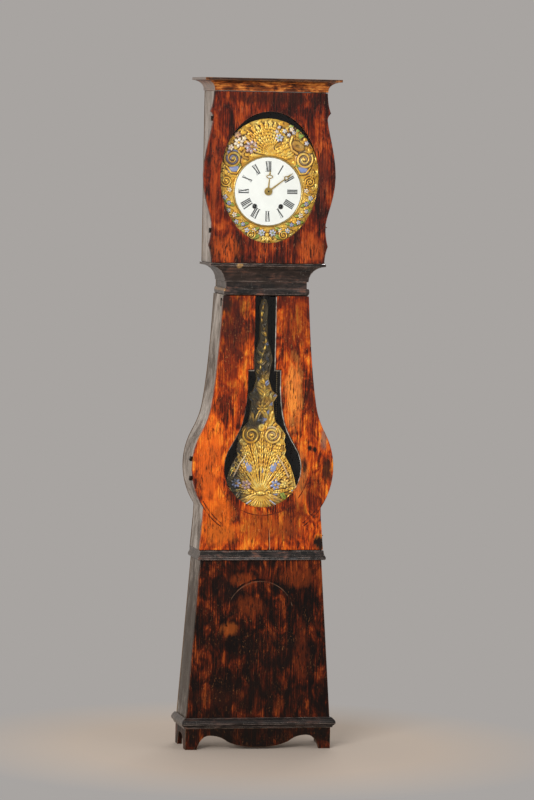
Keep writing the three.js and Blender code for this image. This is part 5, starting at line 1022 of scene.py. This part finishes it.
def pendulum_relief():
    """A wheat sheaf over a fluted fan, scrolls and curled leaves above it, flowers at both sides, and a
    twisted stem with leaves up the slot. Heights are measured from the plate's foot."""
    heights = np.linspace(PLATE_LOW[2] + 0.4, PLATE_HIGH[2] - 0.4, PLATE_ROWS)
    halves = np.maximum(slice_half_width("pendulum_plate", heights), 3.0)
    share = np.linspace(-1, 1, PLATE_COLUMNS)
    rises = np.repeat((heights - PLATE_LOW[2])[:, None], PLATE_COLUMNS, axis=1)
    top = rises[-1, 0]
    relief = Relief(np.outer(halves, share), rises)
    for place in range(150):
        over, up = polar(11.5 * math.sqrt(place), 137.5 * place)
        x, z = over * 0.8, 150 + up * 1.1
        outward = math.degrees(math.atan2(z - 60, x))
        tint = "blue" if place % 13 == 0 else "olive" if place % 5 == 0 else "gold"
        relief.leaf(x, z, outward + (24 if place % 2 else -24), 28, 11, 3.6, tint, bend=0.15)
    for row in range(16):
        odd = row % 2
        for place in range(-3, 4):
            tint = "blue" if (row * 5 + place) % 11 == 0 else "olive" if (row + place) % 4 == 0 else "gold"
            lean = 90 - 13 * place + (24 if odd else -24)
            relief.leaf(13 * place + 6 * odd, 318 + 17 * row, lean, 27, 10, 3.4, tint, bend=0.15)
    for turn in range(200, 345, 12):
        relief.leaf(0, 84, turn, 74, 15, 5.6, "pale" if turn % 36 == 20 else "gold")
    long_ears = 150 + 34 * np.sin(np.linspace(0.2, math.pi - 0.2, 13))
    relief.sheaf(0, 78, np.linspace(42, 138, 13), long_ears, 15, 6.6, stem=0.40)
    relief.sheaf(0, 84, np.linspace(58, 122, 7), (176, 196, 208, 214, 208, 196, 176), 15, 7.2)
    relief.sheaf(0, 80, (22, 158, 8, 172), (112, 112, 96, 96), 15, 6.0, stem=0.35)
    relief.ridge([(-40, 92), (-18, 80), (0, 86), (18, 80), (40, 92)], 12, 7.6, twist=11)
    relief.dome(0, 84, 12, 9, 8.2)
    for side, band, inner, gilt, bright, low_leaf, high_leaf in (
        (-1, "gold", "olive", "blue", "lilac", "olive", "green"),
        (1, "pale", "silver", "pale", "blue", "green", "gold"),
    ):
        relief.leaf(side * 12, 82, 270 + side * 65, 44, 18, 7, "pale", bend=side * -0.2)
        relief.volute(side * 37, 286, 31, 7.8, -side, 90 - side * 40, band, inner)
        relief.dome(side * 64, 262, 17, 15, 5, dish=0.4)
        relief.dome(side * 62, 306, 13, 16, 5, dish=0.4)
        relief.flower(side * 60, 232, 17, 6.2, 6, "gold", "pale")
        relief.leaf(side * 30, 318, 90 - side * 14, 116, 30, 7, bend=side * -0.20, lobes=4)
        relief.leaf(side * 22, 322, 90 + side * 14, 70, 20, 6.2, "olive", bend=side * 0.1)
        relief.ridge([(side * 56, 214), (side * 76, 186), (side * 98, 140)], 8, 6.8, "silver")
        relief.ridge([(side * 68, 216), (side * 88, 188), (side * 110, 142)], 5, 5.6, twist=8)
        relief.leaf(side * 52, 205, 270 + side * 14, 42, 24, 6.2, "blue")
        relief.dome(side * 44, 172, 14, 19, 6, "blue", side * -20)
        relief.flower(side * 88, 118, 18, 7, 7, gilt, "gold")
        relief.flower(side * 52, 112, 19, 6.8, 6, bright, "pale", 15)
        relief.flower(side * 112, 92, 12, 5.5, 5, "gold", "blue")
        relief.leaf(side * 44, 66, 270 + side * 62, 56, 20, 6, "umber", bend=side * 0.15)
        relief.leaf(side * 70, 92, 270 + side * 32, 48, 18, 5.8, low_leaf)
        relief.ridge([(side * 34, 58), (side * 58, 40), (side * 76, 22)], 6, 5.6, "sky")
        relief.leaf(side * 96, 150, 90 - side * 25, 40, 18, 5.2, high_leaf)
    relief.dome(0, 338, 20, 9, 7, "blue", 12)
    relief.dome(0, 338, 6, 4, 7.8, "pale", 12)
    relief.flower(0, 378, 20, 6.8, 8, "gold", "pale")
    relief.dome(0, 312, 14, 14, 6.5, dish=0.5)
    stem = [(9 * math.sin(k * 0.42), 398 + (top - 412) * k / 30) for k in range(31)]
    relief.ridge(stem, 10, 6.0, twist=24)
    for step, (x, z) in enumerate(stem[2:27:3]):
        side = 1 if step % 2 else -1
        size = 46 - 3 * step
        tint = ("gold", "blue", "gold", "olive")[step % 4]
        relief.leaf(x, z, 90 - side * 34, size, size * 0.42, 5.4, tint, bend=side * -0.22)
        relief.leaf(x, z + 8, 90 + side * 44, size * 0.7, size * 0.3, 4.6, bend=side * 0.2)
    relief.stipple(*PLATE_STIPPLE)
    roll_border(relief, (1 - np.abs(share))[None, :] * halves[:, None], top)
    blacken(relief)
    relief.z = relief.z + PLATE_LOW[2]
    relief_object("pendulum_plate_relief", relief, PLATE_FRONT_Y, PLATE_BACK_Y, False, "pendulum",
                  "pendulum_plate")


def roll_border(relief, edge, top):
    """Rolls the plate's border up into a narrow pale rim; edge is how far each point lies from it"""
    rolled = 3.0 * np.exp(-((edge - 1.8) / 1.5) ** 2)
    ends = np.clip(np.minimum(relief.z, top - relief.z) / 4, 0, 1)
    raised = np.maximum(relief.height * np.clip(edge / 3.5, 0, 1), rolled)
    relief.height = np.clip(raised * ends, 0, HIGHEST_ON_PLATE)
    on_rim = edge < 3.6
    relief.tint[on_rim] = linear(TINTS["pale"][0])
    relief.varnish[on_rim] = 0.1


def blacken(relief):
    """Dark patina low on the plate's left and up its neck and stem, which on the left is also painted shade;
    raised parts keep painted glints
    """
    x, z = relief.x, relief.z
    cloudy = 14 * np.sin(z / 17) * np.sin(z / 41 + x / 23)
    # Darker low on the left and up the neck's left: patina and painted shade
    low_left = np.clip((-x - 44 + cloudy) / 40, 0, 1)
    neck_left = np.clip((16 - x + cloudy) / 30, 0, 1) * np.clip((z - 250) / 70, 0, 1)
    neck = 0.55 * np.clip((z - 320) / 60, 0, 1)
    stem = np.clip((z - 430) / 80, 0, 1)
    proud = np.clip((relief.height - 2.6) / 1.8, 0, 1)
    # Painted glints: a wavy pattern that keeps raised parts bright
    wear_and_glint = np.clip(0.35 + 0.9 * np.sin(z / 29 + x / 14) * np.sin(z / 13 - x / 9), 0, 1)
    relief.patina = 0.95 * np.maximum.reduce([low_left, neck_left, neck, stem]) * (1 - 0.75 * proud * wear_and_glint)


dial_surround()
dial_furniture()
dial_numerals()
pendulum_relief()


# Putty round the trunk door's window

PUTTY_WIDE = 2.3
PUTTY_WAVE = 0.5
PUTTY_CLEAR = 0.1
SLOT_HALF = 38.5
# The window's right half as the source draws it, in shares of its radius from the belly's middle: where the
# arc ends, two bends with their ends, and the step in to the slot
WINDOW_ARC_TOP = (0.853, 0.522)
WINDOW_CURVES = [((0.599, 0.938), (0.536, 1.188)), ((0.4275, 1.623), (0.4275, 2.217))]
SLOT_STEP = (0.4275, 2.478)


def window_edge(top):
    """The window's outline from the slot's left end down, round the belly and up to its right end"""
    turns = np.linspace(-math.pi / 2, math.asin(WINDOW_ARC_TOP[1]), 40)
    right = [(math.cos(turn), math.sin(turn)) for turn in turns]
    for bend, end in WINDOW_CURVES:
        start, bend, end = np.array(right[-1]), np.array(bend), np.array(end)
        for t in np.linspace(0, 1, 13)[1:]:
            right.append(tuple((1 - t) ** 2 * start + 2 * t * (1 - t) * bend + t ** 2 * end))
    slot = SLOT_HALF / WINDOW_RADIUS
    right += [SLOT_STEP, (slot, SLOT_STEP[1]), (slot, (top - BELLY_Z) / WINDOW_RADIUS)]
    left = [(-x, z) for x, z in right[:0:-1]]
    return np.array(left + right) * WINDOW_RADIUS + (0, BELLY_Z)


def glazing_putty():
    """A fillet of putty in the corner between the wood and the pane, wavy as a thumb leaves it"""
    low, high = box_mm("trunk_glass")
    edge = window_edge(high[2] - 2)
    steps = np.diff(edge, axis=0)
    steps /= np.linalg.norm(steps, axis=1)[:, None]
    inward = np.stack([-steps[:, 1], steps[:, 0]], -1)
    before, after = np.vstack([inward[:1], inward]), np.vstack([inward, inward[-1:]])
    corner = (before + after) / (1 + (before * after).sum(1))[:, None]
    pane_y = low[1] - PUTTY_CLEAR
    points = []
    for place, ((x, z), (over, up)) in enumerate(zip(edge, corner)):
        wide = PUTTY_WIDE + PUTTY_WAVE * math.sin(place * 1.7)
        for reach, y in ((PUTTY_CLEAR, low[1] - wide), (PUTTY_CLEAR, pane_y), (wide, pane_y)):
            points.append((x + over * reach, y, z + up * reach))
    faces = skin(len(edge), 3)
    new_piece("glazing_putty", points, faces, 0, old_putty("old_putty"), "trunk_door_leaf")


glazing_putty()


# Weight lines

LINE_THICK = 3.0
LINE_LAY = 15.0
LINE_RING_STEP = 2.0
LINE_SIDES = 12
LINE_STRANDS = 3


def weight_line(train):
    """A three-strand hemp line, held straight by its weight, from the drum down to the hook. It runs up onto
    the drum as the weight is wound, so it shortens towards its upper end."""
    low, high = box_mm(f"{train}_rope")
    x, y = (low[0] + high[0]) / 2, (low[1] + high[1]) / 2
    length = high[2] - low[2]
    rings = round(length / LINE_RING_STEP) + 1
    down = np.linspace(0, length, rings)[:, None]
    turn = np.linspace(0, 2 * math.pi, LINE_SIDES, endpoint=False)[None, :]
    strand = np.abs(np.cos(LINE_STRANDS / 2 * (turn - 2 * math.pi * down / LINE_LAY)))
    radius = LINE_THICK / 2 * (0.80 + 0.20 * strand)
    height = np.broadcast_to(high[2] - down, radius.shape)
    points = np.stack([x + radius * np.cos(turn), y + radius * np.sin(turn), height], -1).reshape(-1, 3)
    faces = skin(rings, LINE_SIDES)
    piece = new_piece(f"{train}_line", points, faces, len(faces) - 2, FINISHES["hemp_line"], "case",
                      f"{train}_rope")
    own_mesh(piece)


for train in ("going", "strike"):
    weight_line(train)
